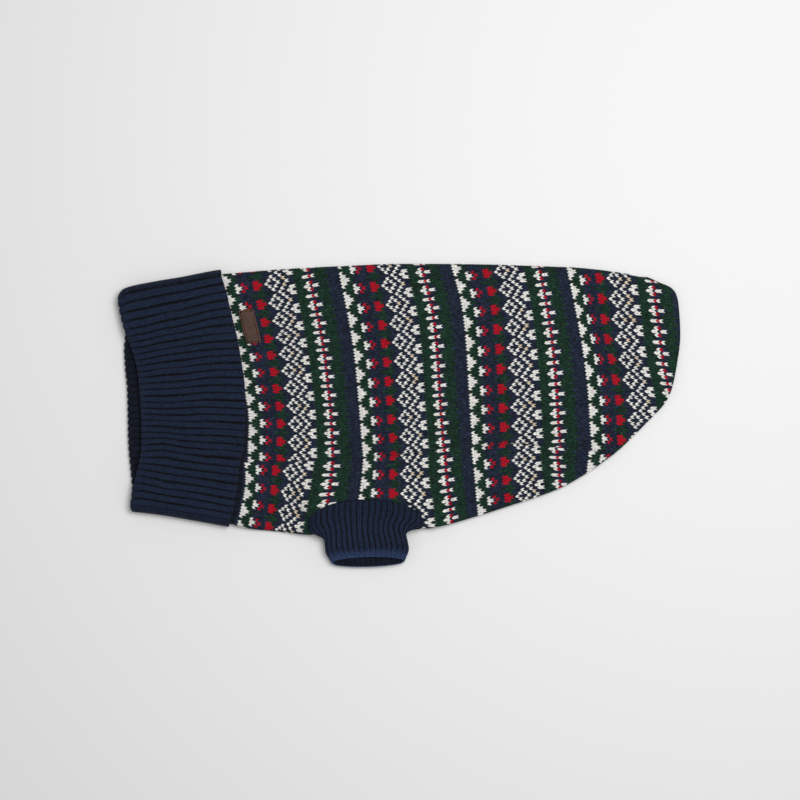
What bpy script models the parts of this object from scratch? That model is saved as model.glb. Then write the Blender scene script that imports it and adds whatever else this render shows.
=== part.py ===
"""A dog's fair-isle jumper, laid flat on its side.

The spine fold is the upper edge (+Y), the belly fold the lower edge, the neck is at -X and the
tail at +X. The garment lies on z = 0. Each knitted piece is a wall: a lattice of places, each
with a point on its outer face and one on its inner face, closed by a rim along every free edge.
"""

import bisect
import math

import bmesh
import bpy
from mathutils import Vector

MM = 0.001

# Driving sizes, in millimetres.
GAP = 0.3  # between neighbouring layers and across a seam
BODY_WALL = 2.4  # patterned knit
LEG_WALL = 2.1  # patterned knit where the two leg holes pull it thin
RIB_WALL = 3.0  # collar rib, without the relief
CUFF_WALL = 1.5  # leg rib, without the relief
CUFF_SLACK = 0.45  # half the space between a flat cuff's two layers
NECK_LIFT = 3.9  # the body rises this much to meet the collar's inner layer
NECK_RAMP = 36.0  # over this length
BELLY_LIFT = (3.6, 3.9)  # upper and lower layer of the strip between the leg holes
HOLE_LIFT = 4.5  # the leg hole's upper edge lies this much above the strip
LEG_RAMP = 32.0
FOLD_STEPS = 6
BACK_SHARES = (0.0, 0.035, 0.075, 0.12, 0.18, 0.26, 0.36, 0.47, 0.59, 0.72, 0.86, 0.97, 1.0)
CHEST_ROWS = 7
SEAM_DIP = 0.6  # the pucker along the side seam, and its twin through the collar
COLLAR_CREASE = (24, 1.2)  # the groove where the seam runs on through the rib, and its depth

# Outlines, as (x, y) in millimetres.
SPINE_EDGE = (
    (-178, 140.5), (-156, 141.5), (-110, 145), (-41, 149), (-7, 151),
    (85, 150.5), (184, 148), (227, 142.5), (244, 137.5), (261, 133.4),
)
TAIL_HEM = (
    (261, 133.4), (272, 128), (278, 121), (280.3, 107), (281.6, 79), (279, 60),
    (272, 27), (265, 12), (251, -4), (224, -31), (214, -39.6),
)
BELLY_HEM = ((214, -39.6), (191, -56), (160, -73.5), (110, -91), (55, -108))
BELLY_HEM_END = (31, -113.4)
SIDE_SEAM = (
    (-155.5, -47.6), (-99, -46), (-9, -41), (41, -34), (104, -28),
    (151, -32), (201, -37), (214, -39.6),
)
NECK_BACK = ((-178, 140.5), (-175.5, 128), (-169.3, 104), (-161, 64), (-154.3, 16),
             (-151.8, -18), (-153, -38), (-155.5, -47.6))
NECK_CHEST = ((-155.5, -47.6), (-157.8, -77), (-161, -92))
BELLY_EDGE = (
    (-165, -110), (-149, -113.7), (-124, -116.4), (-94, -119.6), (-79, -120.4), (-64, -124),
    (-49, -125.6), (-19, -125.6), (-2, -121), (7, -116.3), (19, -113.4), (31, -113.4),
)

# The leg hole: half an ellipse above, a slack line below.
HOLE_LEFT = (-90.4, -107.0)
HOLE_RIGHT = (23.8, -106.4)
HOLE_RISE = 22.5
HOLE_SAG = 2.5
HOLE_CORNER = math.radians(40)

# The collar, by the share of the way from its upper edge to its lower one.
COLLAR_TOP = ((-282, 120.5), (-273.4, 127), (-243.8, 133.5), (-216.3, 138.1), (-197.6, 141.9),
              (-180.9, 144.9), (-150, 148.6))
COLLAR_BOTTOM = ((-282, -95.6), (-266, -96.9), (-243.8, -99.2), (-216.3, -103.6),
                 (-188.3, -108.6), (-169.8, -112), (-150, -115.6))
COLLAR_LINES = (
    # share, near_fold_x, far_fold_x, free_edge_x
    (0.00, -281.0, -280.0, -178.3),
    (0.09, -278.0, -276.5, -173.5),
    (0.18, -273.4, -274.3, -168.8),
    (0.26, -267.2, -275.2, -163.8),
    (0.36, -261.6, -274.0, -159.2),
    (0.45, -259.5, -272.2, -156.0),
    (0.56, -257.8, -271.6, -155.2),
    (0.68, -257.2, -271.2, -156.6),
    (0.76, -258.0, -270.3, -160.2),
    (0.84, -261.6, -268.6, -162.4),
    (0.92, -266.0, -267.4, -165.6),
    (1.00, -268.5, -268.5, -169.5),
)
COLLAR_MIDDLE = 2 * (GAP + RIB_WALL)  # height of the collar's mid surface
COLLAR_RIBS = 32
RIB_DRIFT_X = (-254.3, -234.3, -214.3, -194.3, -177.3)
RIB_DRIFT = (
    # share of the way down, how far the upper layer's ribs lie below an even spread at each x
    (0.000, 0.0, 0.0, 0.0, 0.0, 0.0), (0.125, 9.6, 7.2, 6.0, 3.8, 2.7),
    (0.250, 9.2, 7.0, 5.6, 4.7, 4.8), (0.375, 6.5, 5.5, 5.0, 3.5, 3.0),
    (0.500, 4.0, 5.2, 3.8, 2.4, 2.8), (0.625, 1.0, 1.0, 2.0, 1.3, 1.0),
    (0.750, -1.0, -3.0, -1.0, -0.3, -1.0), (0.875, -3.0, 0.0, 0.0, 0.0, 1.0),
    (1.000, 0.0, 0.0, 0.0, 0.0, 0.0),
)
RIB_GROOVE = 0.30  # share of a rib's width
RIB_RELIEF = 0.45

# The near leg cuff, row by row from its seam to its opening.
CUFF_ROWS = (
    # left_x, left_y, right_x, right_y, front_rise, back_rise, left_rib, right_rib
    (-89.8, -107.4, 23.2, -106.9, 21.5, 1.0, 0.0, 27.0),
    (-90.3, -112.0, 23.7, -109.9, 20.3, 2.5, 0.5, 26.5),
    (-88.0, -117.4, 20.5, -113.3, 16.5, 4.0, 1.5, 25.5),
    (-80.6, -120.7, 11.7, -114.9, 10.5, 2.5, 3.2, 23.8),
    (-75.3, -123.6, 6.7, -118.6, 5.5, -1.0, 4.2, 22.8),
    (-73.7, -131.1, 7.9, -126.6, 3.5, -3.0, 4.5, 22.5),
    (-72.8, -138.1, 9.0, -135.1, 4.0, -3.5, 4.5, 22.5),
    (-67.8, -147.4, 5.6, -145.4, 5.6, -4.6, 4.5, 22.5),
)
CUFF_RIBS = 36
CUFF_SPREAD = 0.6  # 0 crowds the ribs towards the side folds, 1 spreads them evenly
CUFF_FOLD = 0.9  # the turn from a side fold within which they stay crowded, in radians
CUFF_RELIEF = 0.35
CUFF_STACK = (1.95, 10.95)  # mid heights of the far and near cuff over the belly strip
CUFF_SWELL = (4.3, 6.0, 0.45)  # both tubes open up between these rows, by this much a side
CUFF_DROP = (-127.0, -146.0, 3.4)  # the near cuff sinks onto its twin below the belly fold

PATCH_CORNERS = ((-160.8, 104.0), (-145.9, 106.0), (-137.8, 72.4), (-152.2, 71.0))
PATCH_THICKNESS = 1.3
PATCH_CORNER_CUT = 0.09


def mix(a, b, share):
    return a + (b - a) * share


def smooth_step(x):
    x = min(1.0, max(0.0, x))
    return x * x * (3.0 - 2.0 * x)


def hermite(knots, values, t):
    """A smooth curve through the values at the knots, read at t."""
    last = len(knots) - 1
    k = min(max(bisect.bisect_right(knots, t) - 1, 0), last - 1)
    span = knots[k + 1] - knots[k]

    def slope(i):
        lo, hi = max(i - 1, 0), min(i + 1, last)
        return (values[hi] - values[lo]) * (span / (knots[hi] - knots[lo]))

    s = (t - knots[k]) / span
    a, b = values[k], values[k + 1]
    bend = slope(k) * (s * (1 - s) * (1 - s)) - slope(k + 1) * (s * s * (1 - s))
    return a * (1 - 3 * s * s + 2 * s ** 3) + b * (3 * s * s - 2 * s ** 3) + bend


def along(points, share):
    """The point of an outline at a share of its length."""
    points = [Vector(p) for p in points]
    knots = [0.0]
    for a, b in zip(points, points[1:]):
        knots.append(knots[-1] + (b - a).length)
    return hermite(knots, points, share * knots[-1])


def at_x(points, x):
    """The y of an outline that runs from left to right, at x."""
    return hermite([p[0] for p in points], [p[1] for p in points], x)


def column_of(table, column, key):
    """One column of a table, read smoothly at a key of its first column."""
    return hermite([row[0] for row in table], [row[column] for row in table], key)


def outward(points, x):
    """The unit normal of an edge at x, pointing away from the garment's middle."""
    slope = (at_x(points, x + 1.0) - at_x(points, x - 1.0)) / 2.0
    side = 1.0 if points[0][1] > 0 else -1.0
    return Vector((-slope, 1.0)).normalized() * side


def material(name, colour, roughness):
    made = bpy.data.materials.new(name)
    made.use_nodes = True
    shader = made.node_tree.nodes["Principled BSDF"]
    shader.inputs["Base Color"].default_value = (*colour, 1.0)
    shader.inputs["Roughness"].default_value = roughness
    shader.inputs["Metallic"].default_value = 0.0
    made.diffuse_color = (*colour, 1.0)
    return made


def add_wall(name, cells, place, finish):
    """A closed wall. place(key) gives a key's outer and inner point; cells run round outwards."""
    bm = bmesh.new()
    outer, inner, edges = {}, {}, {}
    for cell in cells:
        for key in cell:
            if key not in outer:
                out_point, in_point = place(key)
                outer[key] = bm.verts.new(out_point * MM)
                inner[key] = bm.verts.new(in_point * MM)
        for a, b in zip(cell, cell[1:] + cell[:1]):
            edges[(a, b)] = (b, a) in edges or edges.get((a, b), False)
            if (b, a) in edges:
                edges[(b, a)] = True
        bm.faces.new([outer[key] for key in cell])
        bm.faces.new([inner[key] for key in reversed(cell)])
    for (a, b), shared in edges.items():
        if not shared:
            bm.faces.new((outer[b], outer[a], inner[a], inner[b]))
    bmesh.ops.triangulate(bm, faces=bm.faces, quad_method="SHORT_EDGE")
    mesh = bpy.data.meshes.new(name)
    bm.to_mesh(mesh)
    bm.free()
    mesh.materials.append(finish)
    mesh.shade_smooth()
    mesh.set_sharp_from_angle(angle=math.radians(40))
    made = bpy.data.objects.new(name, mesh)
    jumper.objects.link(made)
    return made


# The body's two layers. lift is how far the upper and the lower one rise at the legs.

def body_wall(lift):
    return mix(BODY_WALL, LEG_WALL, min(1.0, max(lift) / BELLY_LIFT[0]))


def fold_radius(lift):
    """The inner radius of a fold."""
    return GAP + (lift[0] - lift[1]) / 2.0


def fold_centre(edge, normal, lift):
    return edge - normal * (fold_radius(lift) + body_wall(lift))


def spine_at(share):
    """The spine fold's outermost point and its normal, at a share of the back's length."""
    x = mix(SPINE_EDGE[0][0], SPINE_EDGE[-1][0], share)
    return Vector((x, at_x(SPINE_EDGE, x))), outward(SPINE_EDGE, x)


def back_end(outline, end, share):
    """The back panel's neck or hem edge: the outline, pulled in to meet the spine fold."""
    pull = fold_centre(*spine_at(end), (0, 0)) - Vector(outline[0])
    return along(outline, share) + pull * (1.0 - share) + Vector((0.0, GAP / 2)) * share


def neck_line():
    """The neck seam, corner by corner, from the spine fold to the belly fold."""
    back = [back_end(NECK_BACK, 0.0, share) for share in BACK_SHARES]
    chest = [along(NECK_CHEST, k / CHEST_ROWS) for k in range(1, CHEST_ROWS + 1)]
    return back + chest + [Vector(BELLY_EDGE[0])]


def neck_x(y):
    """The neck seam's x at a height y on the garment."""
    k = 1
    while k < len(NECK_LINE) - 1 and NECK_LINE[k].y > y:
        k += 1
    a, b = NECK_LINE[k - 1], NECK_LINE[k]
    share = min(1.0, max(0.0, (a.y - y) / (a.y - b.y)))
    return mix(a.x, b.x, share)


def body_layers(x, y, lift=(0.0, 0.0)):
    """The upper layer's underside, the lower layer's top, and the wall."""
    rise = NECK_LIFT * (1.0 - smooth_step((x - neck_x(y)) / NECK_RAMP))
    upper = BODY_WALL + 2 * GAP + rise + lift[0]
    return upper, BODY_WALL + rise + lift[1], body_wall(lift)


def flat_place(point, lift, near, dip=0.0):
    """The outer and inner point of the body wall on its upper or lower layer."""
    upper, lower, wall = body_layers(point.x, point.y, lift)
    if near:
        return Vector((point.x, point.y, upper + wall - dip)), Vector((point.x, point.y, upper))
    return Vector((point.x, point.y, lower - wall)), Vector((point.x, point.y, lower))


def fold_place(edge, normal, lift, turn):
    """A point round a fold. turn is 0 at the upper layer and 1 at the lower one."""
    upper, lower, wall = body_layers(edge.x, edge.y, lift)
    inner_radius = fold_radius(lift)
    outer_radius = inner_radius + wall
    centre = fold_centre(edge, normal, lift)
    angle = math.pi * (0.5 - turn)
    across = Vector((normal.x * math.cos(angle), normal.y * math.cos(angle), math.sin(angle)))
    middle = Vector((centre.x, centre.y, (upper + lower) / 2.0))
    return middle + across * outer_radius, middle + across * inner_radius


def build_back_panel():
    """Folded along the spine; its lattice runs from the upper layer's seam to the lower one's."""
    columns = [k * 0.018 for k in range(6)] + [0.09 + 0.91 * k / 17 for k in range(1, 18)]
    seam_gap = Vector((0.0, GAP / 2))

    def seam(u):
        x = mix(SIDE_SEAM[0][0], SIDE_SEAM[-1][0], u)
        return Vector((x, at_x(SIDE_SEAM, x))) + seam_gap

    def patch(u, v):
        """A point of the flat layer, blended from the four edges round it."""
        top, bottom = fold_centre(*spine_at(u), (0, 0)), seam(u)
        neck, hem = back_end(NECK_BACK, 0.0, v), back_end(TAIL_HEM, 1.0, v)
        left = mix(back_end(NECK_BACK, 0.0, 0.0), seam(0.0), v)
        right = mix(back_end(TAIL_HEM, 1.0, 0.0), seam(1.0), v)
        return mix(top, bottom, v) + mix(neck - left, hem - right, u)

    flat = len(BACK_SHARES)
    rows = 2 * flat + FOLD_STEPS - 1

    def place(key):
        i, j = key
        u = columns[i]
        if flat <= j < rows - flat:
            edge, normal = spine_at(u)
            return fold_place(edge, normal, (0, 0), (j - flat + 1) / FOLD_STEPS)
        v = BACK_SHARES[flat - 1 - j] if j < flat else BACK_SHARES[j - (rows - flat)]
        return flat_place(patch(u, v), (0, 0), j < flat, SEAM_DIP if v == 1.0 else 0.0)

    cells = [
        ((i, j), (i + 1, j), (i + 1, j + 1), (i, j + 1))
        for i in range(len(columns) - 1)
        for j in range(rows - 1)
    ]
    add_wall("back_panel", cells, place, material("fair_isle_knit", (0.015, 0.021, 0.05), 0.95))


def hole_lift(theta):
    """How far the two layers rise at the leg hole's upper edge, by the angle round it."""
    corner = smooth_step(min(theta, math.pi - theta) / HOLE_CORNER)
    return BELLY_LIFT[0] + HOLE_LIFT * corner, BELLY_LIFT[1] * (1.0 - corner)


def hole_arc(theta, rise):
    share = (1.0 - math.cos(theta)) / 2.0
    chord = mix(Vector(HOLE_LEFT), Vector(HOLE_RIGHT), share)
    return chord + Vector((0.0, rise * math.sin(theta)))


def chest_columns():
    """Each column: its point on the side seam, on the hole's upper and lower edge and on the
    belly fold, and the rise of both layers at the upper and at the lower edge of the hole."""
    made = []
    seam_left, seam_right = -100.0, 62.0
    fold_left, fold_right = -92.0, 20.5
    seam_start, seam_end = SIDE_SEAM[0][0], SIDE_SEAM[-1][0]
    for k in range(8):
        share = k / 8
        x = mix(seam_start, seam_left, share)
        middle = mix(Vector(NECK_CHEST[-1]), Vector(HOLE_LEFT), share)
        rise = smooth_step((middle.x + 119.0) / 25.0)
        lift = (BELLY_LIFT[0] * rise, BELLY_LIFT[1] * rise)
        made.append((x, middle, middle, mix(BELLY_EDGE[0][0], fold_left, share), lift, lift))
    for k in range(15):
        theta = math.pi * k / 14
        share = k / 14
        made.append((
            mix(seam_left, seam_right, share), hole_arc(theta, HOLE_RISE),
            hole_arc(theta, -HOLE_SAG), mix(fold_left, fold_right, share),
            hole_lift(theta), BELLY_LIFT,
        ))
    for k in range(1, 9):
        share = k / 8
        middle = mix(Vector(HOLE_RIGHT), Vector(BELLY_HEM[-1]), share)
        x = mix(seam_right, seam_end, share)
        made.append((x, middle, middle, mix(fold_right, BELLY_HEM_END[0], share),
                     BELLY_LIFT, BELLY_LIFT))
    return made


def build_chest_panel():
    """Folded along the belly. Rows run from the seam to the leg hole, along the strip below the
    hole, round the fold, and back the same way on the lower layer."""
    columns = chest_columns()
    upper_rows, strip_rows = CHEST_ROWS, 3
    hole_first, hole_last = 8, 22
    seam_gap = Vector((0.0, -GAP / 2))
    last = len(columns) - 1

    def upper_point(i, w):
        x, middle = columns[i][:2]
        seam = Vector((x, at_x(SIDE_SEAM, x))) + seam_gap
        point = mix(seam, middle, w)
        if i < hole_first:
            first = Vector(NECK_CHEST[0]) + seam_gap
            bulge = along(NECK_CHEST, w) - mix(first, Vector(NECK_CHEST[-1]), w)
            return point + bulge * (1.0 - i / hole_first)
        if i > hole_last:
            first = Vector(BELLY_HEM[0]) + seam_gap
            bulge = along(BELLY_HEM, w) - mix(first, Vector(BELLY_HEM[-1]), w)
            return point + bulge * ((i - hole_last) / (last - hole_last))
        return point

    def fold_edge(i):
        x = columns[i][3]
        return Vector((x, at_x(BELLY_EDGE, x))), outward(BELLY_EDGE, x)

    half = upper_rows + 1 + strip_rows
    rows = 2 * half + FOLD_STEPS + 1

    def place(key):
        i, j = key
        near = j < half
        row = j if near else rows - 1 - j
        if row <= upper_rows:
            w = row / upper_rows
            point = upper_point(i, w)
            reach = (columns[i][1] - point).length
            fade = 1.0 - smooth_step(reach / LEG_RAMP)
            lift = (columns[i][4][0] * fade, columns[i][4][1] * fade)
            return flat_place(point, lift, near, SEAM_DIP if row == 0 else 0.0)
        edge, normal = fold_edge(i)
        lift = columns[i][5]
        if row < half:
            share = (row - upper_rows - 1) / strip_rows
            centre = fold_centre(edge, normal, lift)
            return flat_place(mix(columns[i][2], centre, share), lift, near)
        return fold_place(edge, normal, lift, (j - half + 1) / FOLD_STEPS)

    def key_of(i, j):
        """Beyond the hole's corners its two edges are one line."""
        open_here = hole_first < i < hole_last
        if not open_here and j == upper_rows + 1:
            return (i, upper_rows)
        if not open_here and j == rows - 2 - upper_rows:
            return (i, rows - 1 - upper_rows)
        return (i, j)

    cells = []
    for i in range(last):
        for j in range(rows - 1):
            if j in (upper_rows, rows - 2 - upper_rows):
                continue
            cells.append((key_of(i, j), key_of(i, j + 1), key_of(i + 1, j + 1), key_of(i + 1, j)))
    knit = material("fair_isle_knit_chest", (0.015, 0.021, 0.05), 0.95)
    add_wall("chest_panel", cells, place, knit)


def rib_height(phase, relief):
    """The relief of a rib at a share of its width: a broad ridge and a narrow groove."""
    return relief if RIB_GROOVE / 2 <= phase % 1.0 <= 1.0 - RIB_GROOVE / 2 else -relief


def collar_around():
    """Places round the collar: (side, share, angle, relief). Side 1 is the upper layer."""
    places = []
    for rib in range(COLLAR_RIBS):
        for phase in (0.0, RIB_GROOVE / 2, 1.0 - RIB_GROOVE / 2):
            relief = rib_height(phase, RIB_RELIEF)
            if (rib, phase) == (COLLAR_CREASE[0], 0.0):
                relief = -COLLAR_CREASE[1]
            places.append((1, (rib + phase) / COLLAR_RIBS, 90.0, relief))
    fold = [90.0 - 180.0 * k / FOLD_STEPS for k in range(FOLD_STEPS + 1)]
    places += [(0, 1.0, angle, 0.0) for angle in fold[:-1]]
    places += [(-1, 1.0 - k / 18, -90.0, 0.0) for k in range(18)]
    places += [(0, 0.0, angle, 0.0) for angle in reversed(fold[1:])]
    return places


def rib_drift(share, x):
    """How far the ribs of the collar's upper layer lie below an even spread."""
    shares = [row[0] for row in RIB_DRIFT]
    across = [hermite(shares, [row[k] for row in RIB_DRIFT], share) for k in range(1, 6)]
    x = min(max(x, RIB_DRIFT_X[0]), RIB_DRIFT_X[-1])
    return hermite(list(RIB_DRIFT_X), across, x)


def spread_ribs(turn):
    """Shifts a turn round the cuff so that its ribs lie more evenly across the flat tube."""
    half, rest = divmod(turn, math.pi)
    even = math.acos(1.0 - 2.0 * rest / math.pi)
    inside = smooth_step(min(rest, math.pi - rest) / CUFF_FOLD)
    return half * math.pi + mix(rest, even, CUFF_SPREAD * inside)


def collar_neck_x(share):
    """Where the collar's inner layer meets the neck seam."""
    x = NECK_BACK[0][0]
    for _ in range(3):
        top = at_x(COLLAR_TOP, x) - COLLAR_MIDDLE
        bottom = at_x(COLLAR_BOTTOM, x) + COLLAR_MIDDLE
        x = neck_x(mix(top, bottom, share)) - GAP
    return x


def build_collar():
    """One rib tube, turned over at its fold: an inner layer from the neck seam to the fold, a
    half turn, and an outer layer back to the free edge. radius is the distance of a face from
    the collar's mid surface."""
    middle = COLLAR_MIDDLE
    around = collar_around()
    inner_layer, outer_layer = (GAP, GAP + RIB_WALL), (2 * GAP + RIB_WALL, 2 * (GAP + RIB_WALL))
    turn_radius = (outer_layer[1] - inner_layer[0]) / 2.0
    turn_middle = (outer_layer[1] + inner_layer[0]) / 2.0
    steps = (
        [("inner", k / 4) for k in range(4)]
        + [("turn", k / 3) for k in range(4)]
        + [("outer", k / 6) for k in range(1, 7)]
    )

    def place(key):
        step, spot = key
        side, share, angle, relief = around[spot % len(around)]
        near = (1 + math.sin(math.radians(angle))) / 2
        fold_x = mix(column_of(COLLAR_LINES, 2, share), column_of(COLLAR_LINES, 1, share), near)
        turn_x = fold_x + turn_radius
        kind, reach = steps[step]
        if kind == "inner":
            clear = 0.0 if side == 1 and 0.03 < share < 0.97 else 2 * GAP
            x = mix(collar_neck_x(share) - clear, turn_x, reach)
            faces = [(x, inner_layer[0]), (x, inner_layer[1])]
        elif kind == "turn":
            turn = math.pi * reach
            faces = []
            for radius in (turn_radius + relief * reach, turn_radius - RIB_WALL):
                faces.append((turn_x - radius * math.sin(turn),
                              turn_middle - radius * math.cos(turn)))
        else:
            x = mix(turn_x, column_of(COLLAR_LINES, 3, share), reach)
            faces = [(x, outer_layer[1] + relief), (x, outer_layer[0])]
        points = []
        for x, radius in faces:
            top = at_x(COLLAR_TOP, x) - middle
            bottom = at_x(COLLAR_BOTTOM, x) + middle
            sideways = 0.0
            if side == 0:
                sideways = math.cos(math.radians(angle)) * (1.0 if share == 0.0 else -1.0)
            drift = rib_drift(share, x) * (reach if kind == "inner" else 1.0) if side == 1 else 0.0
            y = mix(top, bottom, share) + sideways * radius - drift
            points.append(Vector((x, y, middle + math.sin(math.radians(angle)) * radius)))
        return points

    count = len(around)
    cells = [
        ((k, n), (k, (n + 1) % count), (k + 1, (n + 1) % count), (k + 1, n))
        for k in range(len(steps) - 1)
        for n in range(count)
    ]
    add_wall("collar", cells, place, material("collar_rib", (0.012, 0.022, 0.05), 0.95))


def cuff_row(s):
    """The cuff's sizes at s rows from its seam."""
    knots = list(range(len(CUFF_ROWS)))
    return [hermite(knots, [row[k] for row in CUFF_ROWS], s) for k in range(8)]


def cuff_normal(s, left):
    """The outward normal of the cuff's left or right side fold, s rows from the seam."""
    k = 0 if left else 2
    before, after = cuff_row(max(s - 0.5, 0.0)), cuff_row(min(s + 0.5, len(CUFF_ROWS) - 1))
    run, fall = after[k] - before[k], before[k + 1] - after[k + 1]
    normal = Vector((-fall, -run, 0.0)) if left else Vector((fall, run, 0.0))
    return normal.normalized()


def build_cuff(name, near, phases, relief):
    """A flat rib tube that fans out from the leg hole. Its ribs run on round the side folds."""
    rows = len(CUFF_ROWS) - 1
    places = [rib + phase for rib in range(CUFF_RIBS) for phase in phases]
    side = 1.0 if near else -1.0

    def place(key):
        s, spot = key
        left_x, left_y, right_x, right_y, front, back, left_rib, right_rib = cuff_row(s)
        if relief == 0.0:
            left_rib, right_rib = 0.0, CUFF_RIBS / 2
        first, last, most = CUFF_SWELL
        swell = most * smooth_step((s - first) / (last - first))
        inner_radius = CUFF_SLACK + swell
        outer_radius = inner_radius + CUFF_WALL
        rib = places[spot % len(places)]
        phase = rib % 1.0
        raised = rib_height(phase, relief)
        front_ribs = right_rib - left_rib
        if left_rib <= rib <= right_rib:
            turn = math.pi * (rib - left_rib) / front_ribs
        else:
            turn = math.pi * (1.0 + ((rib - right_rib) % CUFF_RIBS) / (CUFF_RIBS - front_ribs))
        turn = spread_ribs(turn)
        share = (1.0 - math.cos(turn)) / 2.0
        rise = front if turn <= math.pi else -back
        x = mix(left_x, right_x, share)
        y = mix(left_y, right_y, share) + rise * math.sin(turn)
        drop = 0.0
        if near:
            first, last, depth = CUFF_DROP
            drop = depth * smooth_step((first - y) / (first - last))
        left = share < 0.5
        normal = cuff_normal(s, left)
        corner = Vector((left_x, left_y, 0.0) if left else (right_x, right_y, 0.0))
        reach = (corner - Vector((x, y, 0.0))).dot(normal)
        edge = min(1.0, max(0.0, reach / outer_radius))
        height = math.sqrt(1.0 - (1.0 - edge) ** 2)
        up = height if turn <= math.pi else -height
        middle = CUFF_STACK[1] - drop if near else CUFF_STACK[0] + swell
        sideways = normal * (1.0 - edge)
        centre = Vector((x, y, middle)) - sideways * outer_radius
        across = sideways + Vector((0.0, 0.0, up * side))
        outer = outer_radius + (raised if turn <= math.pi else 0.0)
        return centre + across * outer, centre + across * inner_radius

    count = len(places)
    cells = []
    for s in range(rows):
        for n in range(count):
            cell = ((s, n), (s + 1, n), (s + 1, (n + 1) % count), (s, (n + 1) % count))
            cells.append(cell if near else tuple(reversed(cell)))
    add_wall(name, cells, place, material(name + "_rib", (0.012, 0.022, 0.05), 0.95))


def build_patch():
    """A thin leather rectangle with clipped corners, lying on the back panel's upper layer."""
    corners = [Vector(c) for c in PATCH_CORNERS]
    long_shares = [0.0, PATCH_CORNER_CUT / 2, 0.2, 0.35, 0.5, 0.65, 0.8,
                   1.0 - PATCH_CORNER_CUT / 2, 1.0]
    wide_shares = [0.0, PATCH_CORNER_CUT, 0.3, 0.5, 0.7, 1.0 - PATCH_CORNER_CUT, 1.0]

    def place(key):
        i, j = key
        along_share, across_share = long_shares[i], wide_shares[j]
        if i in (0, len(long_shares) - 1):
            across_share = mix(PATCH_CORNER_CUT, 1.0 - PATCH_CORNER_CUT, across_share)
        point = mix(mix(corners[0], corners[1], across_share),
                    mix(corners[3], corners[2], across_share), along_share)
        under = flat_place(point, (0, 0), True)[0]
        lifted = under + Vector((0.0, 0.0, GAP + 0.1))
        return lifted + Vector((0.0, 0.0, PATCH_THICKNESS)), lifted

    cells = [
        ((i, j), (i + 1, j), (i + 1, j + 1), (i, j + 1))
        for i in range(len(long_shares) - 1)
        for j in range(len(wide_shares) - 1)
    ]
    add_wall("leather_patch", cells, place, material("leather", (0.14, 0.06, 0.04), 0.55))


for thing in list(bpy.data.objects):
    bpy.data.objects.remove(thing, do_unlink=True)
jumper = bpy.data.collections.new("dog_sweater")
bpy.context.scene.collection.children.link(jumper)

NECK_LINE = neck_line()
build_back_panel()
build_chest_panel()
build_collar()
build_cuff("leg_cuff_near", True, (0.0, RIB_GROOVE / 2, 1.0 - RIB_GROOVE / 2), CUFF_RELIEF)
build_cuff("leg_cuff_far", False, (0.0,), 0.0)
build_patch()
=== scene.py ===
"""Dresses the CAD of a dog's fair-isle jumper, laid flat on its side and seen from above."""

import math

import bmesh
import bpy
import numpy as np
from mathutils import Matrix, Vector


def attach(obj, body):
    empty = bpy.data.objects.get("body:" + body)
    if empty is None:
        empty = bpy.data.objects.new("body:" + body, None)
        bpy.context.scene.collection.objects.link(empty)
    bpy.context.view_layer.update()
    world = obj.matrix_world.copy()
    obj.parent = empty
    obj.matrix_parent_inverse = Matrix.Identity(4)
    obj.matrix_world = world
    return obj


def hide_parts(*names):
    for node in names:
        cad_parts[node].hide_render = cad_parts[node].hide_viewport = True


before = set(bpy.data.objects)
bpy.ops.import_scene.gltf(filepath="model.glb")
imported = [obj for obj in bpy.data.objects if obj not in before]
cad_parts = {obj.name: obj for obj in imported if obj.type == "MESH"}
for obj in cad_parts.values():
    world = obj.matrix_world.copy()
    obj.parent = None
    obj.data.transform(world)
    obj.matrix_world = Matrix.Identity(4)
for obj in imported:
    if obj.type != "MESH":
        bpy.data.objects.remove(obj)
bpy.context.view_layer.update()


# ---------------------------------------------------------------------------------------------
# The back panel: one piece of fair-isle jersey in four yarns, from the neck to the tail, folded
# along the spine. Its courses run down the dog's sides. The tail ends in a plain turned hem.

MM = 0.001
GAP = 0.3
FAR_OFF = 100.0  # a distance that is past every edge
FLOOR_CLEAR = 0.05  # the least height over the floor
BODY_WALL = 2.4
NECK_LIFT = 3.9
NECK_RAMP = 36.0

SPINE_EDGE = (
    (-178, 140.5), (-156, 142.5), (-110, 146.2), (-41, 149.6), (-7, 151),
    (85, 150.5), (150, 148.4), (184, 146.8), (227, 141.3), (244, 137), (261, 132.4),
)
NECK_LINE = (
    # y, x from the belly up to the spine
    (-110, -165), (-92, -161), (-77, -157.8), (-47.6, -155.5), (-38, -153), (-18, -151.8),
    (16, -154.3), (64, -161), (104, -169.3), (128, -175.5), (140.5, -178),
)
TAIL_HEM = (
    # y, x
    (-39.6, 214), (-31, 224), (-4, 251), (12, 265.8), (27, 272.8), (60, 279.2), (79, 281),
    (107, 279.6), (121, 276.8), (128, 270.8), (132.4, 261),
)
SIDE_SEAM = (
    (-155.5, -47.6), (-99, -46), (-9, -41), (41, -34), (104, -28),
    (151, -32), (201, -37), (214, -39.6),
)

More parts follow.
